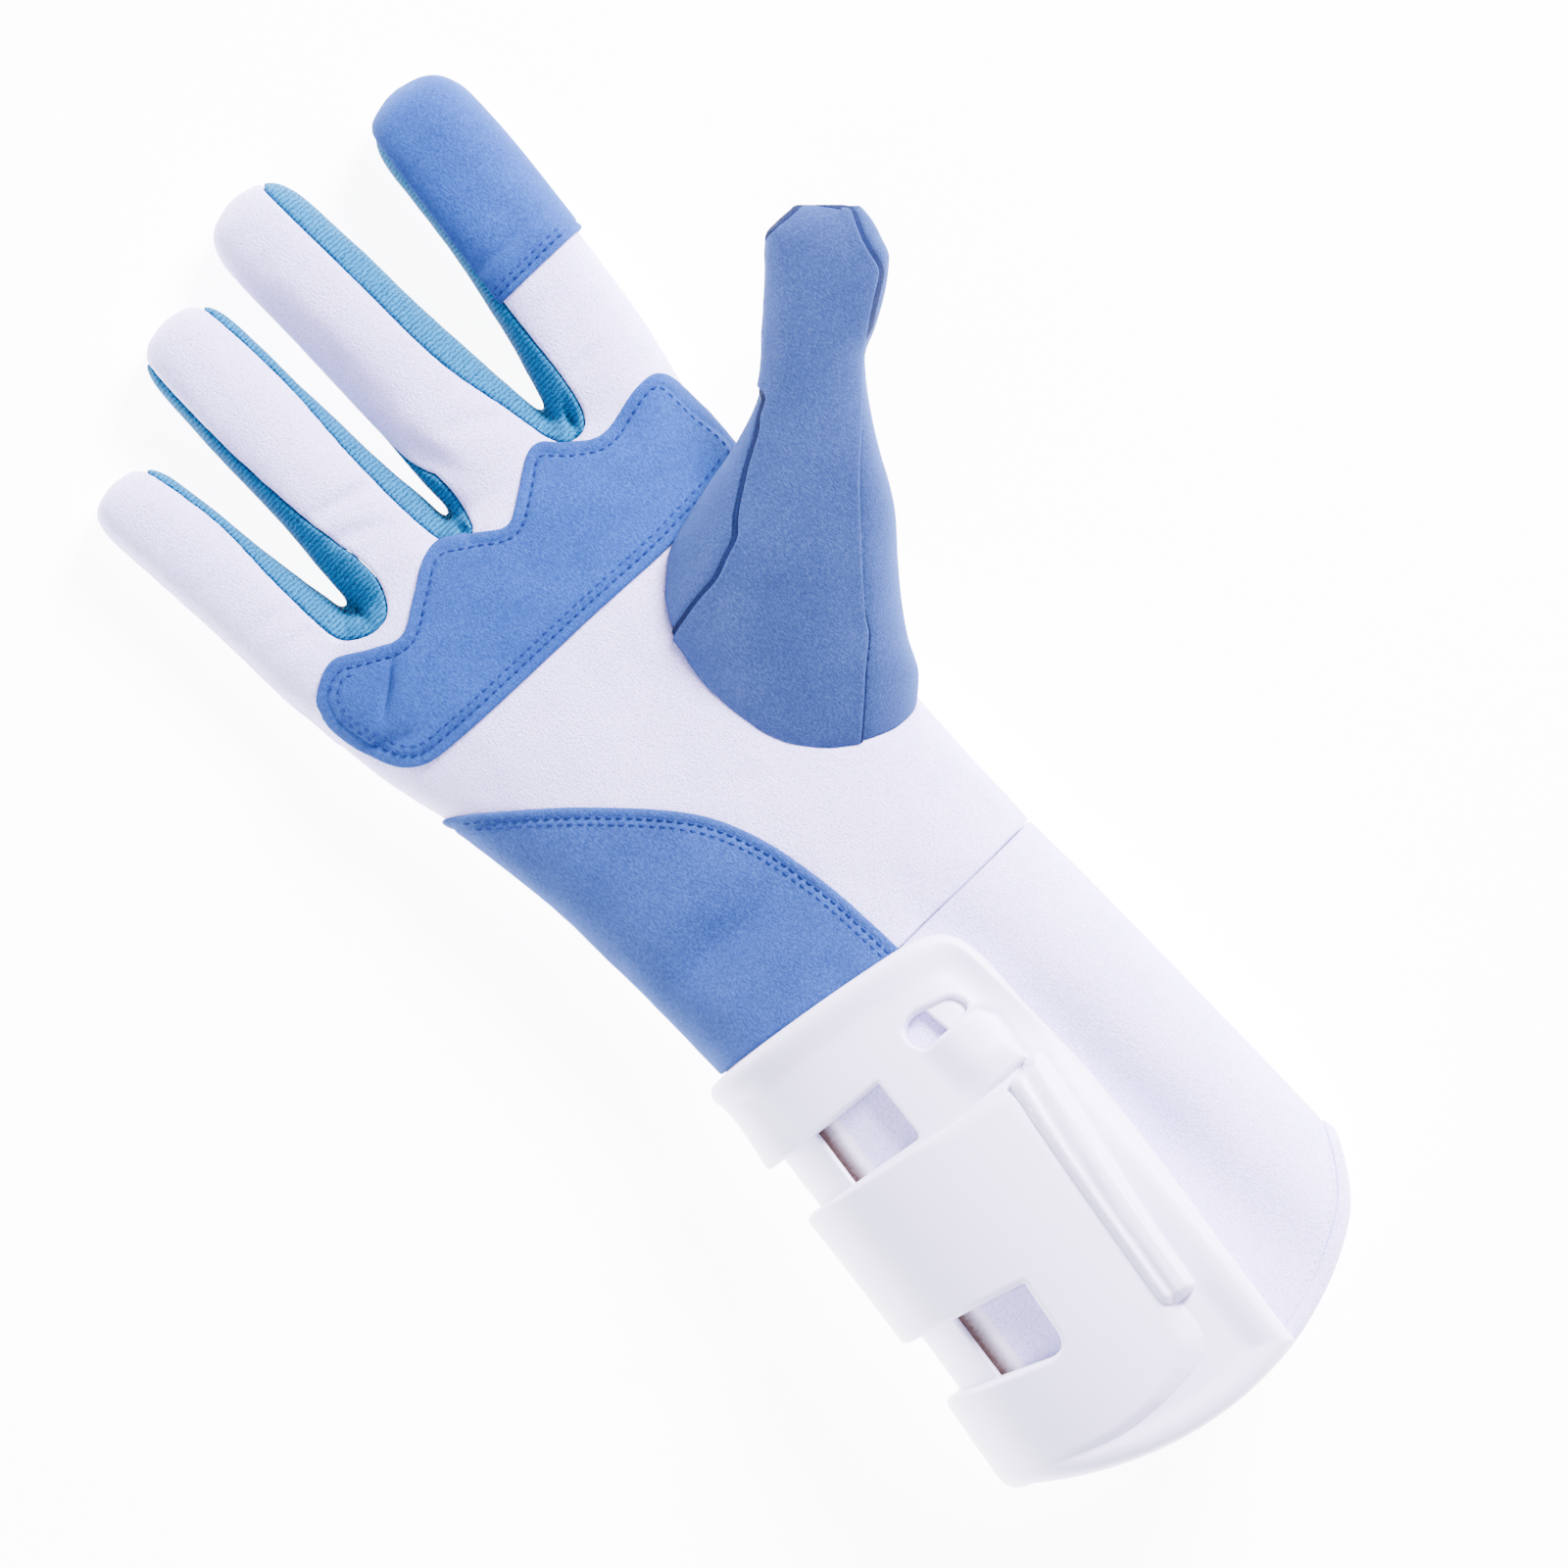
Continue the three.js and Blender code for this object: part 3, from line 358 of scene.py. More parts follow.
# Triangle skins whose points carry numbers, such as distances to seams
class Skin:
    def __init__(self, points, faces, numbers=None):
        self.points = points
        self.faces = faces
        self.numbers = numbers or {}

    def __getitem__(self, name):
        return self.numbers[name]

    def put(self, **numbers):
        for name, values in numbers.items():
            self.numbers[name] = np.asarray(values, float)
        return self

    def normals(self):
        """Unit normals of the points."""
        a, b, c = (self.points[self.faces[:, i]] for i in range(3))
        face = np.cross(b - a, c - a)
        total = np.zeros_like(self.points)
        for i in range(3):
            for axis in range(3):
                total[:, axis] += np.bincount(self.faces[:, i], face[:, axis], len(total))
        return total / np.maximum(norm(total, axis=1), 1e-12)[:, None]

    def split(self, faces, ends, share):
        """The skin with a new point at a share of the way along each edge, less points not used."""
        used, faces = np.unique(faces, return_inverse=True)

        def added(held):
            t = share if held.ndim == 1 else share[:, None]
            return np.concatenate([held, held[ends[:, 0]] * (1 - t) + held[ends[:, 1]] * t])[used]

        numbers = {key: added(held) for key, held in self.numbers.items()}
        return Skin(added(self.points), faces.reshape(-1, 3), numbers)

    def cut(self, name, level=0.0, both=False):
        """Cuts the triangles along a level of a number, and drops what lies below it."""
        value = self.numbers[name] - level
        value = np.where(np.abs(value) < 1e-3, 1e-3, value)
        size = len(value)
        count = (value > 0)[self.faces].sum(1)
        kept = [self.faces[count == 3]]
        if both:
            kept.append(self.faces[count == 0])
        crossed = crossings(self.faces, value > 0)
        edges = [np.stack([a, other], 1) for _, (a, b, c) in crossed for other in (b, c)]
        edges = np.sort(np.vstack(edges), axis=1)
        _, first, back = np.unique(
            edges[:, 0] * size + edges[:, 1], return_index=True, return_inverse=True)
        ends = edges[first]
        share = value[ends[:, 0]] / (value[ends[:, 0]] - value[ends[:, 1]])
        back = back.ravel() + size
        start = 0
        for lone, (a, b, c) in crossed:
            on_b = back[start:start + len(a)]
            on_c = back[start + len(a):start + 2 * len(a)]
            start += 2 * len(a)
            if both or lone:
                kept.append(np.stack([a, on_b, on_c], 1))
            if both or not lone:
                kept += [np.stack([on_b, b, c], 1), np.stack([on_b, c, on_c], 1)]
        return self.split(np.vstack(kept), ends, share)

    def lines(self, name, levels):
        """Adds points along levels of a number, so that an edge can be rounded there."""
        skin = self
        for level in levels:
            skin = skin.cut(name, level, both=True)
        return skin

    def within(self, *names):
        """What lies inside all the numbers named."""
        skin = self
        for name in names:
            skin = skin.cut(name)
        return skin

    def least(self, *names):
        """The least of the numbers named, at each point."""
        return np.min([self.numbers[name] for name in names], axis=0)

    def roll(self, name, radius):
        """How far an edge along a number has rolled down: 1 at the edge, 0 past the radius."""
        return 1 - rounded(self.numbers[name], radius)

    def tree(self, raised=0.0):
        """A search tree of the skin, raised along its normals."""
        points = self.points + self.normals() * np.asarray(raised).reshape(-1, 1)
        return BVHTree.FromPolygons(points.tolist(), self.faces.tolist())


def edges_of(faces):
    """The three directed edges of each triangle."""
    return np.vstack([faces[:, [0, 1]], faces[:, [1, 2]], faces[:, [2, 0]]])


def shell(skin, high, low):
    """A closed solid between two heights over a skin."""
    normal = skin.normals()
    size = len(skin.points)
    outer = skin.points + normal * np.asarray(high).reshape(-1, 1)
    inner = skin.points + normal * np.asarray(low).reshape(-1, 1)
    edges = edges_of(skin.faces)
    there = edges[:, 0] * size + edges[:, 1]
    back = edges[:, 1] * size + edges[:, 0]
    a, b = edges[~np.isin(there, back)].T
    walls = np.vstack([np.stack([b, a, a + size], 1), np.stack([b, a + size, b + size], 1)])
    faces = np.vstack([skin.faces, skin.faces[:, ::-1] + size, walls])
    return np.vstack([outer, inner]), faces


def signed(points, tree, near):
    """Distance from a closed skin, positive outside it and no more than near."""
    found = np.full(len(points), float(near))
    for i, point in enumerate(points.tolist()):
        place, normal, _, distance = tree.find_nearest(point, near)
        if place is not None:
            out = (Vector(point) - place).dot(normal)
            found[i] = distance if out > 0 else -distance
    return found


def relaxed(points, faces, times):
    """The points drawn towards the middle of their neighbours."""
    a, b = edges_of(faces).T
    count = np.bincount(a, minlength=len(points))[:, None]
    for _ in range(times):
        middle = np.stack([np.bincount(a, points[b, i], len(points)) for i in range(3)], 1)
        points = points + 0.5 * (middle / np.maximum(count, 1) - points)
    return points


# Forms
def placed(name, data):
    """An object in the scene with the mesh, lamp or camera given."""
    thing = bpy.data.objects.new(name, data)
    bpy.context.scene.collection.objects.link(thing)
    return thing


def powered(value, power):
    """A cosine or sine whose section is squarer than an ellipse."""
    return np.sign(value) * np.abs(value) ** power


def respaced(across, up, count):
    """The points of a closed line, evenly spaced."""
    far = np.concatenate([[0], np.cumsum(np.hypot(np.diff(across), np.diff(up)))])
    even = np.linspace(0, far[-1], count, endpoint=False)
    return np.interp(even, far, across), np.interp(even, far, up)


def section(left, right, top, seam, under, y, sides):
    """Points round one section of palm, cuff or finger, evenly spaced."""
    turn = np.linspace(0, 2 * pi, ARC_POINTS)
    c = np.cos(turn)
    s = np.sin(turn)
    power = np.where(s >= 0, ROUND_TOP, under)
    reach = np.where(s >= 0, top - seam, seam + TABLE_PRESS)
    x = (left + right) / 2 + (right - left) / 2 * powered(c, power)
    z = seam + reach * powered(s, power)
    z = z - np.maximum(0, s) * fold_drop(x, y, FOLDS)
    x, z = respaced(x, np.maximum(z, 0.0), sides)
    return np.stack([x, np.full(sides, y), z], 1)


def ring_faces(rows, sides):
    """Triangles between rings of points."""
    row, side = np.meshgrid(np.arange(rows - 1), np.arange(sides), indexing="ij")
    a = (row * sides + side).ravel()
    b = (row * sides + (side + 1) % sides).ravel()
    return np.vstack([np.stack([a, b + sides, b], 1), np.stack([a, a + sides, b + sides], 1)])


def closed_rings(rings):
    """A closed skin through rings of points."""
    rows, sides = len(rings), len(rings[0])
    points = np.vstack([*rings, rings[0].mean(0)[None], rings[-1].mean(0)[None]])
    around = np.arange(sides)
    after = (around + 1) % sides
    last = (rows - 1) * sides
    start = np.stack([around, after, np.full(sides, rows * sides)], 1)
    end = np.stack([last + after, last + around, np.full(sides, rows * sides + 1)], 1)
    return points, np.vstack([ring_faces(rows, sides), start, end])


def body_rings(low, high, step, sides):
    """Rings round palm and cuff between two distances along the glove."""
    keys, *columns = np.array(BODY).T
    rings = []
    for y in np.linspace(low, high, int((high - low) / step) + 1):
        left, right, top, seam = (float(through(keys, column, y)) for column in columns)
        rings.append(section(left, right, top, seam, ROUND_UNDER, y, sides))
    return rings


def body_skin(low, high, step, sides):
    """An open skin round palm and cuff."""
    rings = body_rings(low, high, step, sides)
    return Skin(np.vstack(rings), ring_faces(len(rings), sides))


def seam_height(y):
    """Height at which palm and back meet along the sides."""
    keys, _, _, _, seams = np.array(BODY).T
    hand = through(keys, seams, y)
    finger = FINGER_SEAM_HEIGHT
    return np.where(y > HAND_END, finger + (hand - finger) * (1 - ramp(y, HAND_END, 146)), hand)


def finger_at(name, share):
    """Middle line, y, width and depth of a finger at shares of its form."""
    root, tip, tip_y, width, depth, bend, _, _ = FINGERS[name]
    keys, widths, depths = np.array(FINGER_PROFILE).T
    lean = 1 - (1 - share) ** bend
    x = root + (tip - root) * lean
    y = FINGER_ROOT + (tip_y - FINGER_ROOT) * share
    return x, y, width * through(keys, widths, share), depth * through(keys, depths, share)


def finger_rings(name):
    """Rings round a finger, closer together at its tip."""
    depth = FINGERS[name][4]
    shares = np.concatenate([np.linspace(0, 0.88, 60), 1 - 0.12 * np.linspace(0.97, 0, 30) ** 2])
    rings = []
    for share in shares:
        x, y, width, thick = (float(v) for v in finger_at(name, share))
        seam = FINGER_SEAM * depth
        top = seam + (1 - FINGER_SEAM) * thick
        rings.append(section(
            x - width / 2, x + width / 2, top, seam, ROUND_UNDER_FINGER, y, FINGER_SIDES))
    return rings


def thumb_place(along, side):
    """Plan positions at a share along the thumb and a distance across it."""
    reach = (np.asarray(along) - THUMB_BASE_ALONG) * THUMB_LENGTH
    return THUMB_BASE + reach[..., None] * THUMB_AXIS + np.asarray(side)[..., None] * THUMB_SIDE


def thumb_skin(step):
    """The whole thumb as one closed skin, before it is cut into panels."""
    keys, to_wrist, to_index, depths = np.array(THUMB).T
    stations = np.concatenate([
        np.linspace(-0.045, 0.06, int(16 / step)), np.linspace(0.068, 0.94, int(105 / step)),
        np.linspace(0.946, 0.99, 14)])
    turn = np.linspace(0, 2 * pi, ARC_POINTS)
    rings = []
    for along in stations:
        low = float(through(keys, to_wrist, along))
        high = float(through(keys, to_index, along))
        half = (high - low) / 2
        rise = float(through(keys, depths, along)) / 2
        square = 0.84 - 0.26 * float(ramp(along, 0.35, 0.95))
        flat = 0.86 - 0.2 * float(ramp(along, 0.15, 0.5))
        across = -half * powered(np.cos(turn), square)
        across, up = respaced(across, rise * powered(np.sin(turn), flat), int(150 / step))
        across = across + (low + high) / 2
        skew = float(ramp(along, 0.8, 0.97)) * TIP_SKEW * (6.5 - across) / THUMB_WIDTH
        place = thumb_place(along + skew, across)
        height = THUMB_BASE_HEIGHT + THUMB_RISE * (along - THUMB_BASE_ALONG) * THUMB_LENGTH
        rings.append(np.column_stack([place, height + up]))
    points, faces = closed_rings(rings)
    return Skin(points, faces)


def voxel_union(parts, size):
    """One closed skin round several closed ones."""
    start = 0
    faces = []
    for points, rows in parts:
        faces.append(rows + start)
        start += len(points)
    mesh = bpy.data.meshes.new("form")
    mesh.from_pydata(np.vstack([p for p, _ in parts]).tolist(), [], np.vstack(faces).tolist())
    thing = placed("form", mesh)
    modifier = thing.modifiers.new("remesh", "REMESH")
    modifier.mode = "VOXEL"
    modifier.voxel_size = size
    done = thing.evaluated_get(bpy.context.evaluated_depsgraph_get()).to_mesh()
    points = np.empty(len(done.vertices) * 3, np.float32)
    done.vertices.foreach_get("co", points)
    done.calc_loop_triangles()
    faces = np.empty(len(done.loop_triangles) * 3, np.int32)
    done.loop_triangles.foreach_get("vertices", faces)
    points = points.reshape(-1, 3).astype(float)
    faces = faces.reshape(-1, 3).astype(np.int64)
    bpy.data.objects.remove(thing)
    bpy.data.meshes.remove(mesh)
    return points, faces


# Outlines
def between_fingers(lower, upper):
    """The U between two fingers that a fourchette fills."""
    def side(name, widths, way):
        stations = np.array(FOURCHETTE_STATIONS)
        x, y, width, _ = finger_at(name, stations)
        points = list(zip(x + way * (width / 2 - np.array(widths)), y))
        x, y, _, _ = finger_at(name, 0.985)
        points.append((float(x) + way * FOURCHETTE_TIP * FINGERS[name][3], float(y)))
        return points
    down = side(lower, FINGERS[lower][7], 1)[::-1]
    up = side(upper, FINGERS[upper][6], -1)
    left = down[-1][0]
    right = up[0][0]
    bottom = [
        (left + (right - left) * share, CROTCH_Y + rise)
        for share, rise in ((0.2, 1.75), (0.5, 0), (0.8, 1.75))
    ]
    return smooth_outline(down + bottom + up)


def mouth_inset(x, y):
    """Distance in from the curved mouth of the cuff."""
    centre_y = MOUTH_RADIUS - MOUTH_LOW
    short = np.maximum(0, x - (CUFF_RIGHT - MOUTH_CORNER))
    y = y - short ** 2 / (2 * MOUTH_CORNER)
    return MOUTH_RADIUS - np.hypot(x - MOUTH_MIDDLE, np.minimum(y - centre_y, 0))


def window_outline(corner, rows):
    """A window of four corners, the third of which is rounded."""
    a, b, c, d = (np.array(row) for row in rows)
    to_b = (b - c) / norm(b - c)
    to_d = (d - c) / norm(d - c)
    bend = []
    for t in np.linspace(0, 1, 9):
        bend.append((1 - t) ** 2 * (c + corner * to_b) + 2 * t * (1 - t) * c + t * t * (c + corner * to_d))
    return [a, b, *bend, d]


# Materials
GRAIN_TURN = 44


def settled(node, **values):
    """Sets a node's own sockets, with _ for a space in a name."""
    for name, value in values.items():
        node.inputs[name.replace("_", " ")].default_value = value
    return node


def add_node(tree, kind, **values):
    """A new shader node of a kind, with its own sockets set."""
    return settled(tree.nodes.new("ShaderNode" + kind), **values)


def material(name, rough, sheen=0.0, coat=0.0):
    """A new material with its node tree and shader."""
    made = bpy.data.materials.new(name)
    made.use_nodes = True
    shader = made.node_tree.nodes["Principled BSDF"]
    settled(shader, Roughness=rough, Sheen_Weight=sheen, Sheen_Roughness=0.6, Coat_Weight=coat)
    return made, made.node_tree, shader


def place_node(tree, stretch=(1, 1, 1), turn=0):
    """Coordinates in the part's own frame, stretched along each axis and turned seen from above."""
    coordinates = add_node(tree, "TexCoord")
    mapping = add_node(tree, "Mapping", Scale=stretch, Rotation=(0, 0, radians(turn)))
    tree.links.new(coordinates.outputs["Object"], mapping.inputs["Vector"])
    return mapping.outputs["Vector"]


def noise_node(tree, vector, scale, detail, rough=0.55):
    """Smooth noise of a scale for each metre."""
    noise = add_node(tree, "TexNoise", Scale=scale, Detail=detail, Roughness=rough)
    tree.links.new(vector, noise.inputs["Vector"])
    return noise.outputs["Fac"]


def colour_ramp(tree, value, stops):
    """Colours by a value, from stops of position and colour."""
    node = add_node(tree, "ValToRGB")
    elements = node.color_ramp.elements
    for element, (position, colour) in zip(elements, (stops[0], stops[-1])):
        element.position = position
        element.color = (*colour, 1)
    for position, colour in stops[1:-1]:
        elements.new(position).color = (*colour, 1)
    tree.links.new(value, node.inputs["Fac"])
    return node.outputs["Color"]


def multiplied(tree, first, second):
    """The product of two colours."""
    node = add_node(tree, "Mix")
    node.data_type = "RGBA"
    node.blend_type = "MULTIPLY"
    node.inputs["Factor"].default_value = 1.0
    tree.links.new(first, node.inputs["A"])
    tree.links.new(second, node.inputs["B"])
    return node.outputs["Result"]


def summed(tree, parts):
    """The sum of several values, each with its weight."""
    total = None
    for value, weight in parts:
        node = add_node(tree, "Math")
        node.operation = "MULTIPLY_ADD"
        node.inputs[1].default_value = weight
        node.inputs[2].default_value = 0.0
        tree.links.new(value, node.inputs[0])
        if total is not None:
            tree.links.new(total, node.inputs[2])
        total = node.outputs[0]
    return total


def bumped(tree, shader, height, strength, distance):
    """Gives a shader a bump of a height in metres."""
    node = add_node(tree, "Bump", Strength=strength, Distance=distance)
    tree.links.new(height, node.inputs["Height"])
    tree.links.new(node.outputs["Normal"], shader.inputs["Normal"])


def cloth_material(name, pale, shade):
    """Brushed white fabric with a fine close grain."""
    made, tree, shader = material(name, 0.92, sheen=0.15)
    vector = place_node(tree)
    fine = noise_node(tree, vector, 1900, 3, 0.6)
    broad = noise_node(tree, vector, 45, 2)
    tint = colour_ramp(tree, fine, [(0.34, shade), (0.58, pale)])
    wash = colour_ramp(tree, broad, [(0.3, (0.9, 0.9, 0.97)), (0.7, (1, 1, 1))])
    tree.links.new(multiplied(tree, tint, wash), shader.inputs["Base Color"])
    long_grain = noise_node(tree, place_node(tree, (1, 0.4, 1), GRAIN_TURN), 3000, 2)
    bumped(tree, shader, summed(tree, [(fine, 1.0), (long_grain, 0.8)]), 1.0, 0.0004)
    return made


def suede_material(name, dark, middle, pale, sheen=0.0):
    """Soft blue leather with a fine grain that runs one way, slow mottling, and painted light that
    lightens the faces a piece marks.
    """
    made, tree, shader = material(name, 0.9, sheen=sheen)
    settled(shader, Sheen_Tint=(0.12, 0.3, 0.9, 1), Specular_IOR_Level=0.2)
    grain = noise_node(tree, place_node(tree, (1, 0.36, 1), GRAIN_TURN), 3300, 4, 0.7)
    mottle = noise_node(tree, place_node(tree), 60, 4)
    tint = colour_ramp(tree, grain, [(0.37, dark), (0.5, middle), (0.63, pale)])
    wash = colour_ramp(tree, mottle, [(0.32, (0.8, 0.82, 0.86)), (0.68, (1.06, 1.06, 1.04))])
    # Painted light: faces marked by this attribute get up to 2.6 times lighter
    painted_side_light = add_node(tree, "Attribute")
    painted_side_light.attribute_name = "painted_side_light"
    side_light_gain = colour_ramp(tree, painted_side_light.outputs["Fac"], [(0.0, (1, 1, 1)), (1.0, (2.6, 2.2, 1.9))])
    tint = multiplied(tree, tint, side_light_gain)
    tree.links.new(multiplied(tree, tint, wash), shader.inputs["Base Color"])
    bumped(tree, shader, summed(tree, [(grain, 1.0), (mottle, 0.3)]), 0.8, 0.0004)
    return made


def knit_material(name, dark, pale):
    """Ribbed cyan knit: close ribs across the finger over a fine grain."""
    made, tree, shader = material(name, 0.9)
    settled(shader, Specular_IOR_Level=0.15)
    wave = add_node(tree, "TexWave", Scale=300, Distortion=5, Detail=4, Detail_Scale=2.2)
    wave.wave_type = "BANDS"
    wave.bands_direction = "Y"
    vector = place_node(tree)
    tree.links.new(vector, wave.inputs["Vector"])
    fine = noise_node(tree, vector, 2400, 3, 0.6)
    both = summed(tree, [(wave.outputs["Fac"], 0.25), (fine, 0.75)])
    tree.links.new(colour_ramp(tree, both, [(0.25, dark), (0.72, pale)]), shader.inputs["Base Color"])
    bumped(tree, shader, both, 0.8, 0.0004)
    return made


def shadow_fading_material(name, dark, pale):
    """A brown strip whose dark edge is painted shadow, fading to the colour of the cloth along the piece's
    own fade.
    """
    made, tree, shader = material(name, 0.9)
    fade = add_node(tree, "Attribute")
    fade.attribute_name = "fade"
    grain = noise_node(tree, place_node(tree), 1200, 3)
    both = summed(tree, [(fade.outputs["Fac"], 1.0), (grain, 0.25)])
    middle = tuple((d + 0.35 * (p - d)) for d, p in zip(dark, pale))
    tint = colour_ramp(tree, both, [(0.12, dark), (0.55, middle), (1.0, pale)])
    tree.links.new(tint, shader.inputs["Base Color"])
    bumped(tree, shader, grain, 0.4, 0.0003)
    return made


def moulding_material(name, colour):
    """Satin white rubber with a barely uneven skin."""
    made, tree, shader = material(name, 0.42, coat=0.08)
    settled(shader, Coat_Roughness=0.3)
    vector = place_node(tree)
    broad = noise_node(tree, vector, 60, 3)
    fine = noise_node(tree, vector, 900, 3)
    pale = tuple(c * 1.02 for c in colour)
    tree.links.new(colour_ramp(tree, broad, [(0.3, colour), (0.7, pale)]), shader.inputs["Base Color"])
    rough = add_node(tree, "MapRange", To_Min=0.36, To_Max=0.5)
    tree.links.new(fine, rough.inputs["Value"])
    tree.links.new(rough.outputs["Result"], shader.inputs["Roughness"])
    bumped(tree, shader, summed(tree, [(broad, 1.0), (fine, 0.15)]), 0.12, 0.0006)
    return made


WHITE = cloth_material("white_cloth", (0.77, 0.72, 1.0), (0.53, 0.48, 0.8))
BLUE = suede_material(
    "blue_leather", (0.005, 0.031, 0.13), (0.01, 0.048, 0.195), (0.021, 0.077, 0.275), sheen=0.2)
HEEL_BLUE = suede_material(
    "heel_leather", (0.009, 0.033, 0.124), (0.0175, 0.052, 0.187), (0.032, 0.083, 0.265), sheen=0.2)
THUMB_BLUE = suede_material(
    "thumb_leather", (0.01, 0.025, 0.081), (0.016, 0.037, 0.116), (0.029, 0.058, 0.158), sheen=0.25)
# Near-black leather that paints the shade in the thumb's seam creases
CREASE_SHADE_BLUE = suede_material(
    "leather_crease_shade", (0.0, 0.004, 0.025), (0.001, 0.008, 0.045), (0.002, 0.014, 0.07))
CYAN = knit_material("cyan_knit", (0.0, 0.013, 0.034), (0.0, 0.165, 0.33))
RUBBER = moulding_material("white_moulding", (0.78, 0.755, 0.88))
# Painted shadow beside the tongue's edge: dark brown fading to the cloth's colour
BROWN_SHADOW = shadow_fading_material("brown_painted_shadow", (0.068, 0.033, 0.024), (0.79, 0.74, 0.82))
BLUE_THREAD = suede_material(
    "blue_thread", (0.002, 0.012, 0.08), (0.004, 0.022, 0.13), (0.01, 0.04, 0.2))
WHITE_THREAD = cloth_material("white_thread", (0.8, 0.78, 0.9), (0.6, 0.57, 0.75))


# Pieces
SHARP = radians(50)


def piece(name, points, faces, finish, slot, nodes=()):
    """Makes a shown piece from points in the source's millimetres."""
    mesh = bpy.data.meshes.new(name)
    mesh.vertices.add(len(points))
    points = np.column_stack([points[:, :2], np.maximum(points[:, 2], LOWEST)])
    mesh.vertices.foreach_set("co", (points * 0.001 + ZERO).astype(np.float32).ravel())
    mesh.loops.add(len(faces) * 3)
    mesh.loops.foreach_set("vertex_index", np.ascontiguousarray(faces, np.int32).ravel())
    mesh.polygons.add(len(faces))
    mesh.polygons.foreach_set("loop_start", np.arange(0, len(faces) * 3, 3, dtype=np.int32))
    mesh.polygons.foreach_set("use_smooth", np.ones(len(faces), bool))
    mesh.update(calc_edges=True)
    mesh.validate()
    mesh.set_sharp_from_angle(angle=SHARP)
    mesh.materials.append(finish)
    thing = placed(name, mesh)
    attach(thing, "root")
    if nodes:
        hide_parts(*nodes)
    return thing


def paint_side_light(thing):
    """Marks the faces that turn towards the little finger and up, where the leather gets painted light."""
    normals = np.empty(len(thing.data.vertices) * 3, np.float32)
    thing.data.vertex_normals.foreach_get("vector", normals)
    normals = normals.reshape(-1, 3)
    painted_side_light = thing.data.attributes.new("painted_side_light", "FLOAT", "POINT")
    painted_side_light.data.foreach_set("value", ramp(-normals[:, 0], 0.15, 0.85) * (normals[:, 2] > 0))


def sewn(skin, roll=1.3, depth=0.7, top=0.0, thick=CLOTH, groove=None):
    """A panel whose edges roll down into the seams, with a sewn groove along one of its numbers."""
    skin = skin.lines("edge", (0.35 * roll, roll))
    if groove:
        name, place = groove
        skin = skin.lines(name, (place - 0.5, place, place + 0.5))
    high = top - depth * skin.roll("edge", roll)
    if groove:
        high -= 0.35 * np.exp(-((skin[name] - place) / 0.5) ** 2)
    if "lift" in skin.numbers:
        high += skin["lift"]
    return shell(skin, high, top - thick)


# Stitches
def offset_line(line, distance, closed=False):
    """A line moved sideways, to the left of its direction."""
    line = np.asarray(line, float)
    if closed:
        run = np.roll(line, -1, 0) - np.roll(line, 1, 0)
    else:
        run = np.gradient(line, axis=0)
    run /= np.maximum(norm(run, axis=1), 1e-9)[:, None]
    return line + distance * np.stack([-run[:, 1], run[:, 0]], 1)


def stitch_rings(a, b, up, thick):
    """Rings of points round one stitch from a to b, on a surface that faces up."""
    side = np.cross((b - a) / norm(b - a), up)
    turn = np.arange(STITCH_SIDES) * 2 * pi / STITCH_SIDES
    around = np.cos(turn)[:, None] * side + 0.8 * np.sin(turn)[:, None] * up
    rings = []
    for share, size in zip(STITCH_SHARES, STITCH_FAT):
        middle = (a + b) / 2 + (b - a) * share
        rings.append(middle + up * (thick * (size - 0.75)) + thick * size * around)
    return np.vstack(rings)


def stitches(name, lines, tree, finish, slot):
    """A row of small sewn stitches along lines seen from above, laid on a surface."""
    points = []
    chance = np.random.default_rng(7)
    for line in lines:
        far = np.concatenate([[0], np.cumsum(norm(np.diff(line, axis=0), axis=1))])
        for middle in np.arange(STITCH_PITCH, far[-1] - STITCH_PITCH * 0.5, STITCH_PITCH):
            middle += chance.normal() * 0.06
            ends = [middle - STITCH_LENGTH / 2, middle + STITCH_LENGTH / 2]
            x = np.interp(ends, far, line[:, 0])
            y = np.interp(ends, far, line[:, 1])
            a, up_a, _, _ = tree.ray_cast((x[0], y[0], FAR), (0, 0, -1))
            b, up_b, _, _ = tree.ray_cast((x[1], y[1], FAR), (0, 0, -1))
            # Steep cloth, and a step between the two ends, carry no stitch
            if a is None or b is None or min(up_a.z, up_b.z) < 0.25 or abs(a.z - b.z) > 1.5:
                continue
            up = np.array(up_a + up_b)
            thick = STITCH_RADIUS * chance.uniform(0.9, 1.1)
            points.append(stitch_rings(np.array(a), np.array(b), up / norm(up), thick))
    pattern = ring_faces(len(STITCH_SHARES), STITCH_SIDES)
    faces = [pattern + i * len(STITCH_SHARES) * STITCH_SIDES for i in range(len(points))]
    return piece(name, np.vstack(points), np.vstack(faces), finish, slot)


# The hand's form
NEAR = 12.0
hand_parts = [closed_rings(body_rings(HAND_START, HAND_END, HAND_STEP, HAND_SIDES))]
hand_parts += [closed_rings(finger_rings(name)) for name in FINGERS]
points, faces = voxel_union(hand_parts, HAND_VOXEL)
points = relaxed(points, faces, 5)
hand = Skin(points, faces)
normal = hand.normals()
upper = ramp(normal[:, 2], -0.2, 0.6)
ripple = 0.3 * waves(points, 26, 3) + 0.12 * waves(points, 9, 4)
points = points + normal * (ripple * (0.4 + 0.6 * upper))[:, None]
points[:, 2] -= fold_drop(points[:, 0], points[:, 1], CREASES) * upper
points[:, 2] = np.maximum(points[:, 2], LOWEST)
hand.points = points
x, y, z = hand.points.T
hand_tree = hand.tree()

thumb = thumb_skin(THUMB_STEP)
thumb_tree = thumb.tree()

pairs = [("little", "ring"), ("ring", "middle"), ("middle", "index")]
webs = [inside(x, y, between_fingers(*pair)) for pair in pairs]
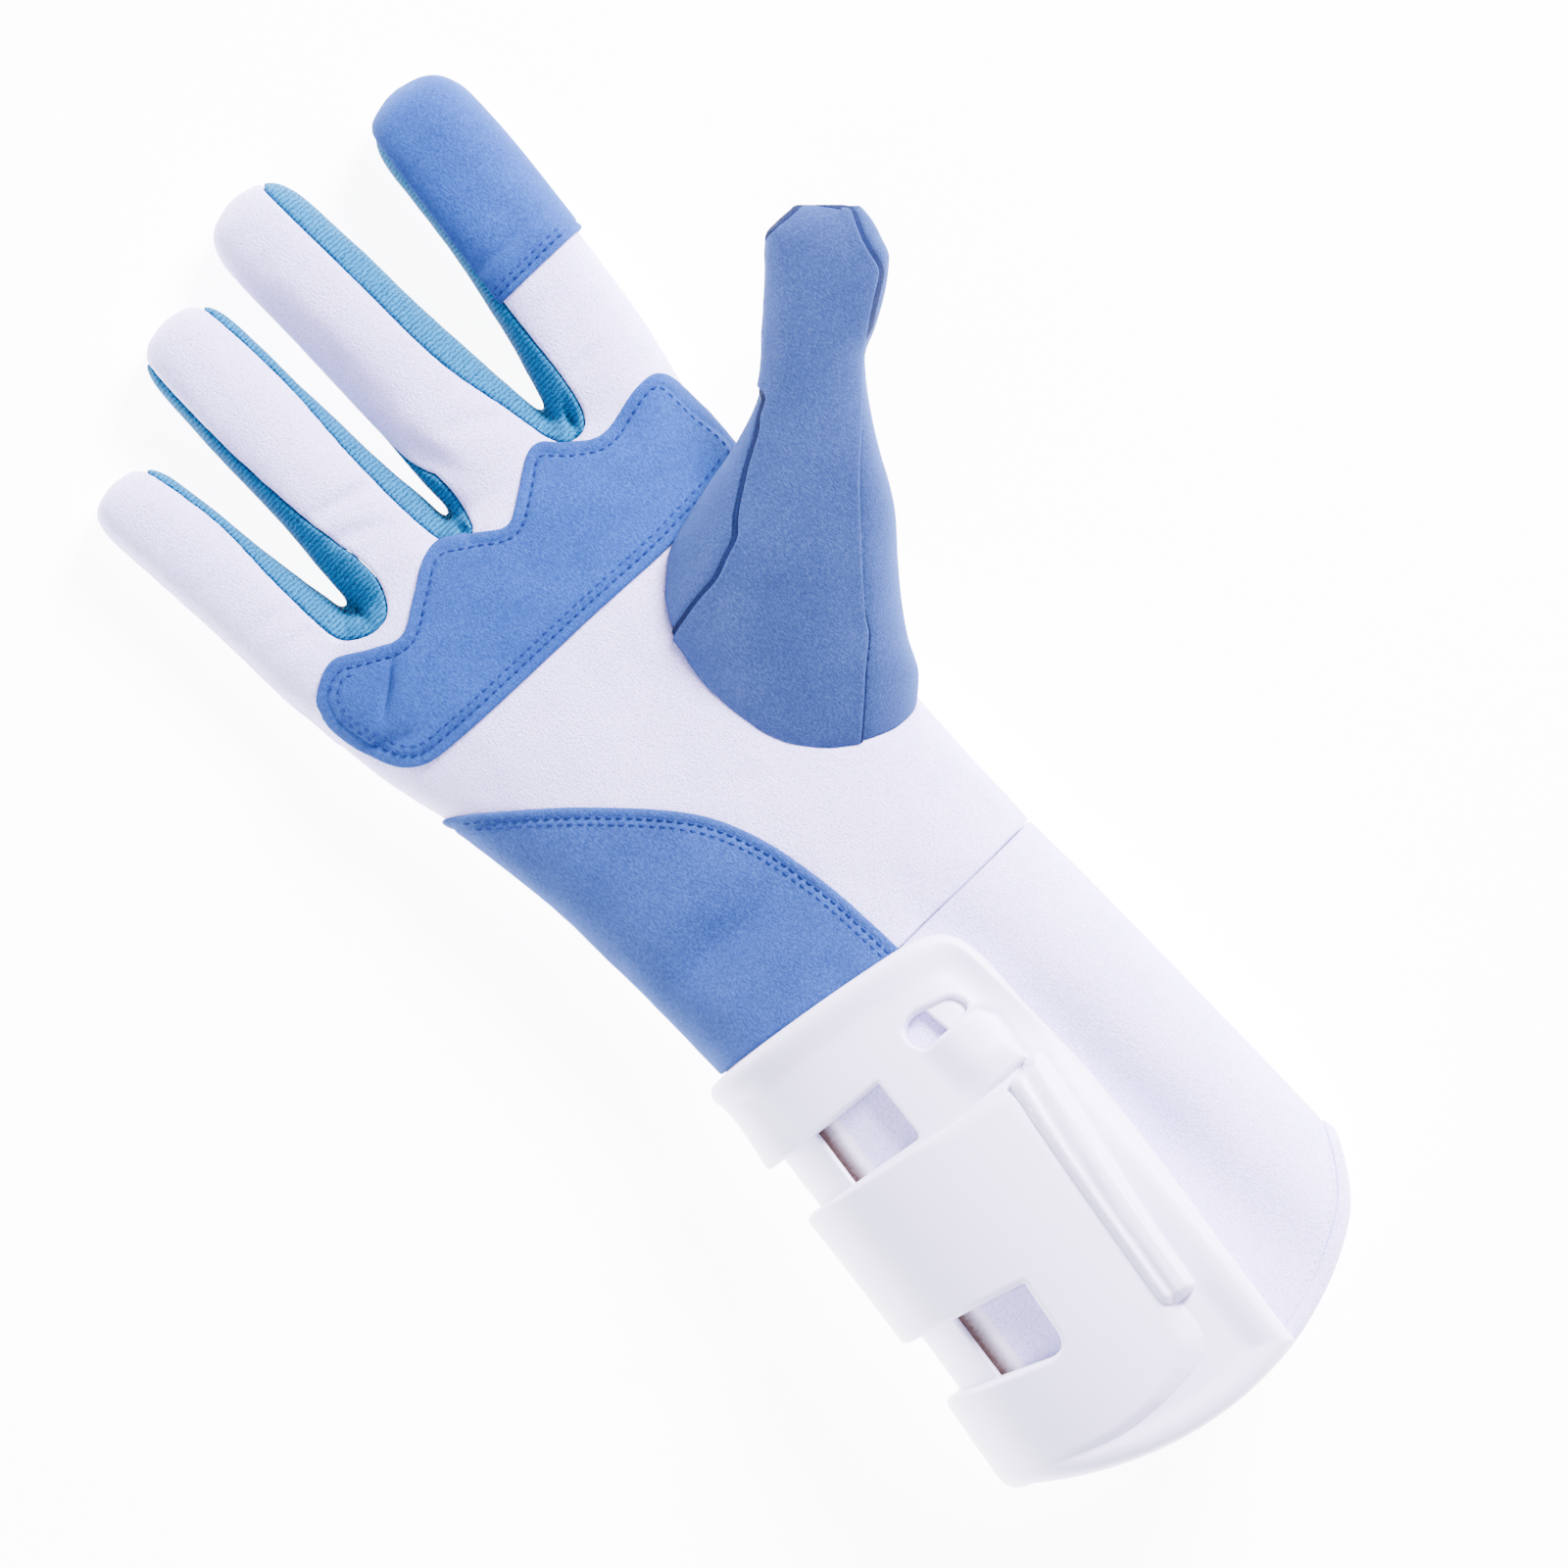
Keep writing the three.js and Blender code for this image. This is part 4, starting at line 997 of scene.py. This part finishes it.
# The photo shows little knit on the middle finger's near side, so it stays low there
lid = 8.0 - z + 15 * np.clip((168 - y) / 30, 0, 1)
webs[1] = np.where(x > -10, np.minimum(webs[1], lid), webs[1])
near_thumb = (x > -5) & (y > 20) & (y < 130)
off_thumb = np.full(len(x), NEAR)
off_thumb[near_thumb] = signed(hand.points[near_thumb], thumb_tree, NEAR)
hand.put(
    start=y - GAP / 2,
    above=z - seam_height(y),
    off_thumb=off_thumb + 0.4,
    off_webs=-np.max(webs, axis=0) - GAP / 2,
    **{f"web_{i}": web - GAP / 2 for i, web in enumerate(webs)},
)
hand.put(below=-hand["above"])


def panel(name, skin, numbers, finish, slot, **sizes):
    """Cuts one sewn panel out of a skin, where all the numbers are positive."""
    skin = skin.within(*numbers)
    skin.put(edge=skin.least(*numbers))
    return piece(f"{name}_look", *sewn(skin, **sizes), finish, slot, [name])


panel("palm_panel", hand, ["start", "above", "off_webs", "off_thumb"], WHITE, "white_cloth")
panel("back_panel", hand, ["start", "below", "off_webs", "off_thumb"], WHITE, "white_cloth")
for i, (lower, upper_name) in enumerate(pairs):
    panel(f"fourchette_{lower}_{upper_name}", hand, [f"web_{i}"], CYAN, "cyan_knit", roll=0.9, depth=0.4)

# Leather patches on the palm
palm_outline = smooth_outline(PALM_PATCH, closed=True)
heel_line = smooth_outline(HEEL_EDGE)
heel_outline = np.vstack([heel_line, [(-FAR, heel_line[-1][1]), (-FAR, heel_line[0][1])]])
plate_line = smooth_outline(PLATE_EDGE)
plate_outline = np.vstack([plate_line, [(-FAR, PLATE_EDGE[-1][1]), (-FAR, 10.6)]])
index_middle = finger_at("index", np.array(0.473))
hand.put(
    palm_patch=inside(x, y, palm_outline),
    heel_patch=inside(x, y, heel_outline),
    off_plate=-inside(x, y, plate_outline) - GAP,
    cap=np.where(x > index_middle[0] - 26, y - CAP_START, -20.0),
    cap_low=z - 6.6,
    off_web=-webs[2] - 0.2,
)
for name, numbers, groove in (
    ("palm_patch", ["palm_patch", "above", "off_thumb"], ("palm_patch", PALM_ROWS[0])),
    ("heel_patch", ["heel_patch", "above", "off_plate", "off_thumb"], ("heel_patch", HEEL_ROWS[0])),
    ("index_cap", ["cap", "cap_low", "off_web"], ("cap", CAP_ROWS[0])),
):
    finish = HEEL_BLUE if name == "heel_patch" else BLUE
    panel(name, hand, numbers, finish, "blue_leather", roll=0.8, depth=0.6, top=PATCH_TOP,
          thick=PATCH_THICK, groove=groove)

# The palm's second row runs along its lower edge and its end alone
leather_top = hand.tree(PATCH_TOP)
second = offset_line(palm_outline, -PALM_ROWS[1], closed=True)
kept = inside(*second.T, palm_outline) > PALM_ROWS[1] - 0.2
kept &= (second[:, 1] < 108) | (second[:, 0] < -46)
second = second[kept]
split = int(np.argmax(norm(np.diff(second, axis=0), axis=1))) + 1
second = np.vstack([second[split:], second[:split]])
first = offset_line(palm_outline, -PALM_ROWS[0], closed=True)
first = first[inside(*first.T, palm_outline) > PALM_ROWS[0] - 0.2]
stitches("palm_patch_stitches", [first, second], leather_top, BLUE_THREAD, "blue_leather")
heel_lines = [offset_line(heel_line, -row) for row in HEEL_ROWS]
stitches("heel_patch_stitches", heel_lines, leather_top, BLUE_THREAD, "blue_leather")
cap_lines = [
    np.column_stack([np.linspace(31, 62, 40), np.full(40, CAP_START + row)]) for row in CAP_ROWS
]
stitches("index_cap_stitches", cap_lines, leather_top, BLUE_THREAD, "blue_leather")

# Thumb
x, y, z = thumb.points.T
reach = (x - THUMB_BASE[0]) * THUMB_AXIS[0] + (y - THUMB_BASE[1]) * THUMB_AXIS[1]
along = reach / THUMB_LENGTH + THUMB_BASE_ALONG
inner_seam = thumb_place(*np.array(INNER_SEAM).T)
outer_seam = thumb_place(*np.array(OUTER_SEAM).T)
front_outline = np.vstack([smooth_outline(inner_seam), smooth_outline(outer_seam)[::-1]])
above_middle = z - THUMB_BASE_HEIGHT - THUMB_RISE * reach
front = np.minimum(inside(x, y, front_outline), above_middle)
to_seam = np.abs(inside(x, y, front_outline))
sideways = (x - THUMB_BASE[0]) * THUMB_SIDE[0] + (y - THUMB_BASE[1]) * THUMB_SIDE[1]
upward = ramp(above_middle, -1, 4)
inner = (sideways > 2) * (1 - ramp(along, 0.66, 0.7)) * upward
outer = (sideways <= 2) * upward
tip = ramp(along, 0.74, 0.79) * upward
thumb.put(
    outside=signed(thumb.points, hand_tree, NEAR) + 0.2,
    front=front - 0.05,
    side=-front - 0.05,
    lift=(0.8 * inner + 0.5 * outer) * np.exp(-(to_seam / 2.0) ** 2),
)
# Both thumb panels carry painted light on their faces towards the little finger
paint_side_light(panel("thumb_front", thumb, ["outside", "front"], THUMB_BLUE, "blue_leather", roll=0.6, depth=0.4))
hollow = (1.3 * inner + 0.4 * outer) * np.exp(-(to_seam / 1.4) ** 2)
hollow += 1.2 * tip * np.exp(-(to_seam / 1.0) ** 2)
thumb.put(lift=-hollow)
paint_side_light(panel("thumb_back", thumb, ["outside", "side"], THUMB_BLUE, "blue_leather", roll=0.7, depth=0.5))

# The folded-under leather edges along the thumb's seams, coloured near-black as painted shade of the
# crease under the front panel
width = 1.35 * inner + 0.7 * outer * (1 - ramp(along, 0.24, 0.3)) + 1.4 * tip
thumb.put(fold=np.minimum(width - 0.15 + np.minimum(front, 0), 0.6 - front))
fold = thumb.cut("outside").cut("fold").lines("fold", (0.2,))
high = 0.15 - 0.3 * fold.roll("fold", 0.2)
piece("thumb_folds", *shell(fold, high, -1.5), CREASE_SHADE_BLUE, "blue_leather")

# Cuff
cuff = body_skin(CUFF_END, -0.1, CUFF_STEP, CUFF_SIDES)
x, y, z = cuff.points.T
inset = mouth_inset(x, y)
cuff.put(end=-y - GAP / 2, in_hem=inset - HEM_WIDTH + 0.2, mouth=inset, hem=HEM_WIDTH - inset)
panel("cuff_panel", cuff, ["end", "in_hem"], WHITE, "white_cloth")
hem = cuff.within("mouth", "hem").lines("mouth", (0.3, 0.9, 1.8, 2.9))
width = hem["mouth"]
round_edge = rounded(width, 1.7)
high = -0.8 + 1.5 * round_edge - 0.5 * ramp(width, 2.2, 3.6)
low = -0.8 - 1.7 * round_edge
piece("cuff_hem_look", *shell(hem, high, low), WHITE, "white_cloth", ["cuff_hem"])
turn = np.radians(np.linspace(18, 47, 60))
hem_x = MOUTH_MIDDLE + (MOUTH_RADIUS - HEM_STITCH) * np.sin(turn)
hem_y = MOUTH_RADIUS - MOUTH_LOW - (MOUTH_RADIUS - HEM_STITCH) * np.cos(turn)
hem_y += np.maximum(0, hem_x - CUFF_RIGHT + MOUTH_CORNER) ** 2 / (2 * MOUTH_CORNER)
hem_line = np.column_stack([hem_x, hem_y])
stitches("cuff_hem_stitches", [hem_line], cuff.tree(0.05), WHITE_THREAD, "white_cloth")


# Closure
def moulded(name, skin, high, low):
    """One moulded piece of the closure, between two heights over a skin."""
    piece(f"{name}_look", *shell(skin, high, low), RUBBER, "white_moulding", [name])


fine = body_skin(CUFF_END, 9.0, CLOSURE_STEP, CLOSURE_SIDES)
x, y, z = fine.points.T
fine.put(keep=np.minimum(14 - x, z - 4.0))
fine = fine.cut("keep")
x, y, z = fine.points.T
openings = [window_outline(*row) for row in WINDOWS] + [smooth_outline(SLOT, closed=True, step=0.6)]
holes = np.max([inside(x, y, outline) for outline in openings], axis=0)
plate_inset = inside(x, y, plate_outline)
inset = mouth_inset(x, y)
past_tongue = -inside(x, y, TONGUE_REGION)
fine.put(
    off_tongue=past_tongue,
    strip=4.9 - past_tongue,
    in_windows=np.max([inside(x, y, outline) for outline in openings[:2]], axis=0) + 2.0,
    plate=plate_inset,
    mouth=inset,
    floor=z - CLOSURE_FLOOR,
    off_holes=-holes,
    tongue=-past_tongue,
    cover=inside(x, y, COVER_EDGE),
    rib=inside(x, y, RIB_EDGE),
    tab=inside(x, y, TAB_EDGE),
    slot_step=np.minimum(inside(x, y, SLOT_STEP), 2.5 + inside(x, y, openings[2])),
)
plate = fine.within("plate", "mouth", "floor", "off_holes")
plate.put(edge=plate.least("plate", "mouth", "floor"))
plate = plate.lines("edge", (0.2, 0.5, 1.0, 1.8, 2.8)).lines("off_holes", (0.12, 0.4, 0.8))
plate = plate.lines("tab", (-1.6, -0.8, 0.0, 0.3, 0.8, 1.3)).lines("rib", (-1.5, -0.8, 0.0))
rim = 1 - ramp(plate["plate"], 2.8, 10.0)
flange = 1 - ramp(plate["mouth"], 3.6, 7.4)
right = ramp(plate.points[:, 0], -16, -7)
tab = rounded(plate["tab"], 1.6) * right * (0.35 + 0.65 * ramp(-plate["cover"], 0.5, 9.0))
beside_tab = right * np.exp(-((plate["tab"] + 0.3) / 0.8) ** 2)
beside_rib = np.exp(-(np.minimum(plate["rib"], 0) / 0.9) ** 2)
band = ramp(-plate.points[:, 0], 45, 52) * ramp(plate.points[:, 1], -24, -17)
raised = np.max([rim, flange, 1.35 * tab, band], axis=0)
high = PLATE_TOP + (RIM_TOP - PLATE_TOP) * raised
high -= np.maximum(0.9 * beside_tab, 0.5 * beside_rib)
high -= 2.8 * plate.roll("edge", 2.9) + 0.7 * plate.roll("off_holes", 0.8)
moulded("closure_plate", plate, high, GAP)

tongue = fine.within("tongue", "plate", "mouth", "floor").lines("tongue", (0.15, 0.5))
high = TONGUE_TOP - 0.5 * tongue.roll("tongue", 0.5)
moulded("closure_tongue", tongue, high, GAP)

cover = fine.within("cover", "off_holes", "floor", "plate")
cover.put(edge=cover.least("cover", "off_holes", "floor"))
cover = cover.lines("edge", (0.15, 0.5, 1.0, 1.6, 2.8))
corner = 0.6 * ramp(-cover.points[:, 1], 97, 103)
soft = 1.5 + 2.5 * corner + 2.8 * ramp(cover.points[:, 0], -32, -18)
inward = cover["edge"]
high = COVER_TOP - 1.9 * (1 - (1 - corner) * rounded(inward, soft) - corner * ramp(inward, -0.5, soft))
moulded("closure_cover", cover, high, PLATE_TOP - SUNK)

rib = fine.cut("rib")
left_line = np.array(RIB_EDGE)[[0, -1]]
run = (left_line[1] - left_line[0]) / norm(left_line[1] - left_line[0])
across = (rib.points[:, 0] - left_line[0][0]) * -run[1] + (rib.points[:, 1] - left_line[0][1]) * run[0]
rib.put(across=across)
rib = rib.lines("rib", (0.1, 0.35, 0.8, 1.3, 1.9)).lines("across", (1.6, 2.2, 2.8, 3.4, 4.0, 4.8))
across = rib["across"]
inward = rib["rib"]
high = RIB_TOP - 2.1 * (1 - 0.4 * rounded(inward, 1.9) - 0.6 * ramp(inward, 0, 2.2))
high -= 0.45 * (1 - ramp(across, 2.4, 5.0)) + 0.6 * np.exp(-((across - 3.1) / 1.1) ** 2)
moulded("closure_rib", rib, high, PLATE_TOP - SUNK)

# The lighter end of the strap that shows in the slot
step_end = fine.cut("slot_step").lines("slot_step", (0.15, 0.5))
high = 2.7 - 0.5 * step_end.roll("slot_step", 0.5)
piece("closure_slot_end", *shell(step_end, high, GAP), RUBBER, "white_moulding")

# The brown edge strip beside the tongue: its dark edge, fading into the cloth beside it, is painted shadow
# of the tongue's edge
strip = fine.within("off_tongue", "strip", "plate", "mouth", "floor", "in_windows")
strip = strip.lines("off_tongue", (0.8, 1.6, 2.6, 3.6))
fade = ramp(strip["off_tongue"], 0.6, 4.6)
points, faces = shell(strip, 0.9 - 0.86 * fade, -0.2)
edge_shadow = piece("closure_edge_shadow", points, faces, BROWN_SHADOW, "white_moulding")
shade = edge_shadow.data.attributes.new("fade", "FLOAT", "POINT")
shade.data.foreach_set("value", np.concatenate([fade, fade]).astype(np.float32))

# Floor, light and camera, in metres
FLOOR_REACH = 3.0
FLOOR_GLOW = 9.0
LAMP_AIM = (0, 0, 0.03)
VIEW_TURN = radians(44)
VIEW_CENTRE = np.array([4.33, 44.1, 25.0]) * 0.001 + ZERO
VIEW_WIDTH = 0.352
VIEW_END = 20
LENS = 400
SENSOR = 36

floor_mesh = bpy.data.meshes.new("floor")
corners = [(-1, -1), (1, -1), (1, 1), (-1, 1)]
floor_mesh.from_pydata([(FLOOR_REACH * a, FLOOR_REACH * b, 0) for a, b in corners], [], [(0, 1, 2, 3)])
floor = placed("floor", floor_mesh)
floor_finish, _, floor_shader = material("floor", 0.95)
settled(floor_shader, Emission_Color=(1, 1, 1, 1), Emission_Strength=FLOOR_GLOW)
settled(floor_shader, Base_Color=(0.95, 0.95, 0.96, 1))
floor_mesh.materials.append(floor_finish)

world = bpy.data.worlds.new("studio")
bpy.context.scene.world = world
world.use_nodes = True
settled(world.node_tree.nodes["Background"], Color=(0.6, 0.6, 1.0, 1), Strength=1.25)

# Square area lights: name, place, size, power and colour
for name, place, size, power, colour in (
    ("key", (1.5, 0.5, 1.2), 0.7, 330, (0.88, 0.82, 1.0)),
    ("fill", (-1.2, -0.6, 1.8), 1.6, 26, (0.85, 0.81, 1.0)),
    ("low_fill", (-1.4, 0.0, 0.7), 1.2, 15, (0.85, 0.81, 1.0)),
):
    lamp = bpy.data.lights.new(name, "AREA")
    lamp.size = size
    lamp.energy = power
    lamp.color = colour
    light = placed(name, lamp)
    light.location = place
    light.rotation_euler = (Vector(LAMP_AIM) - Vector(place)).to_track_quat("-Z", "Y").to_euler()

camera = bpy.data.cameras.new("camera")
camera.lens = LENS
camera.sensor_width = SENSOR
camera.clip_end = VIEW_END
eye = placed("camera", camera)
c = cos(VIEW_TURN)
s = sin(VIEW_TURN)
eye.matrix_world = Matrix((
    (c, s, 0, VIEW_CENTRE[0]),
    (-s, c, 0, VIEW_CENTRE[1]),
    (0, 0, 1, VIEW_CENTRE[2] + VIEW_WIDTH * LENS / SENSOR),
    (0, 0, 0, 1),
))
bpy.context.scene.camera = eye
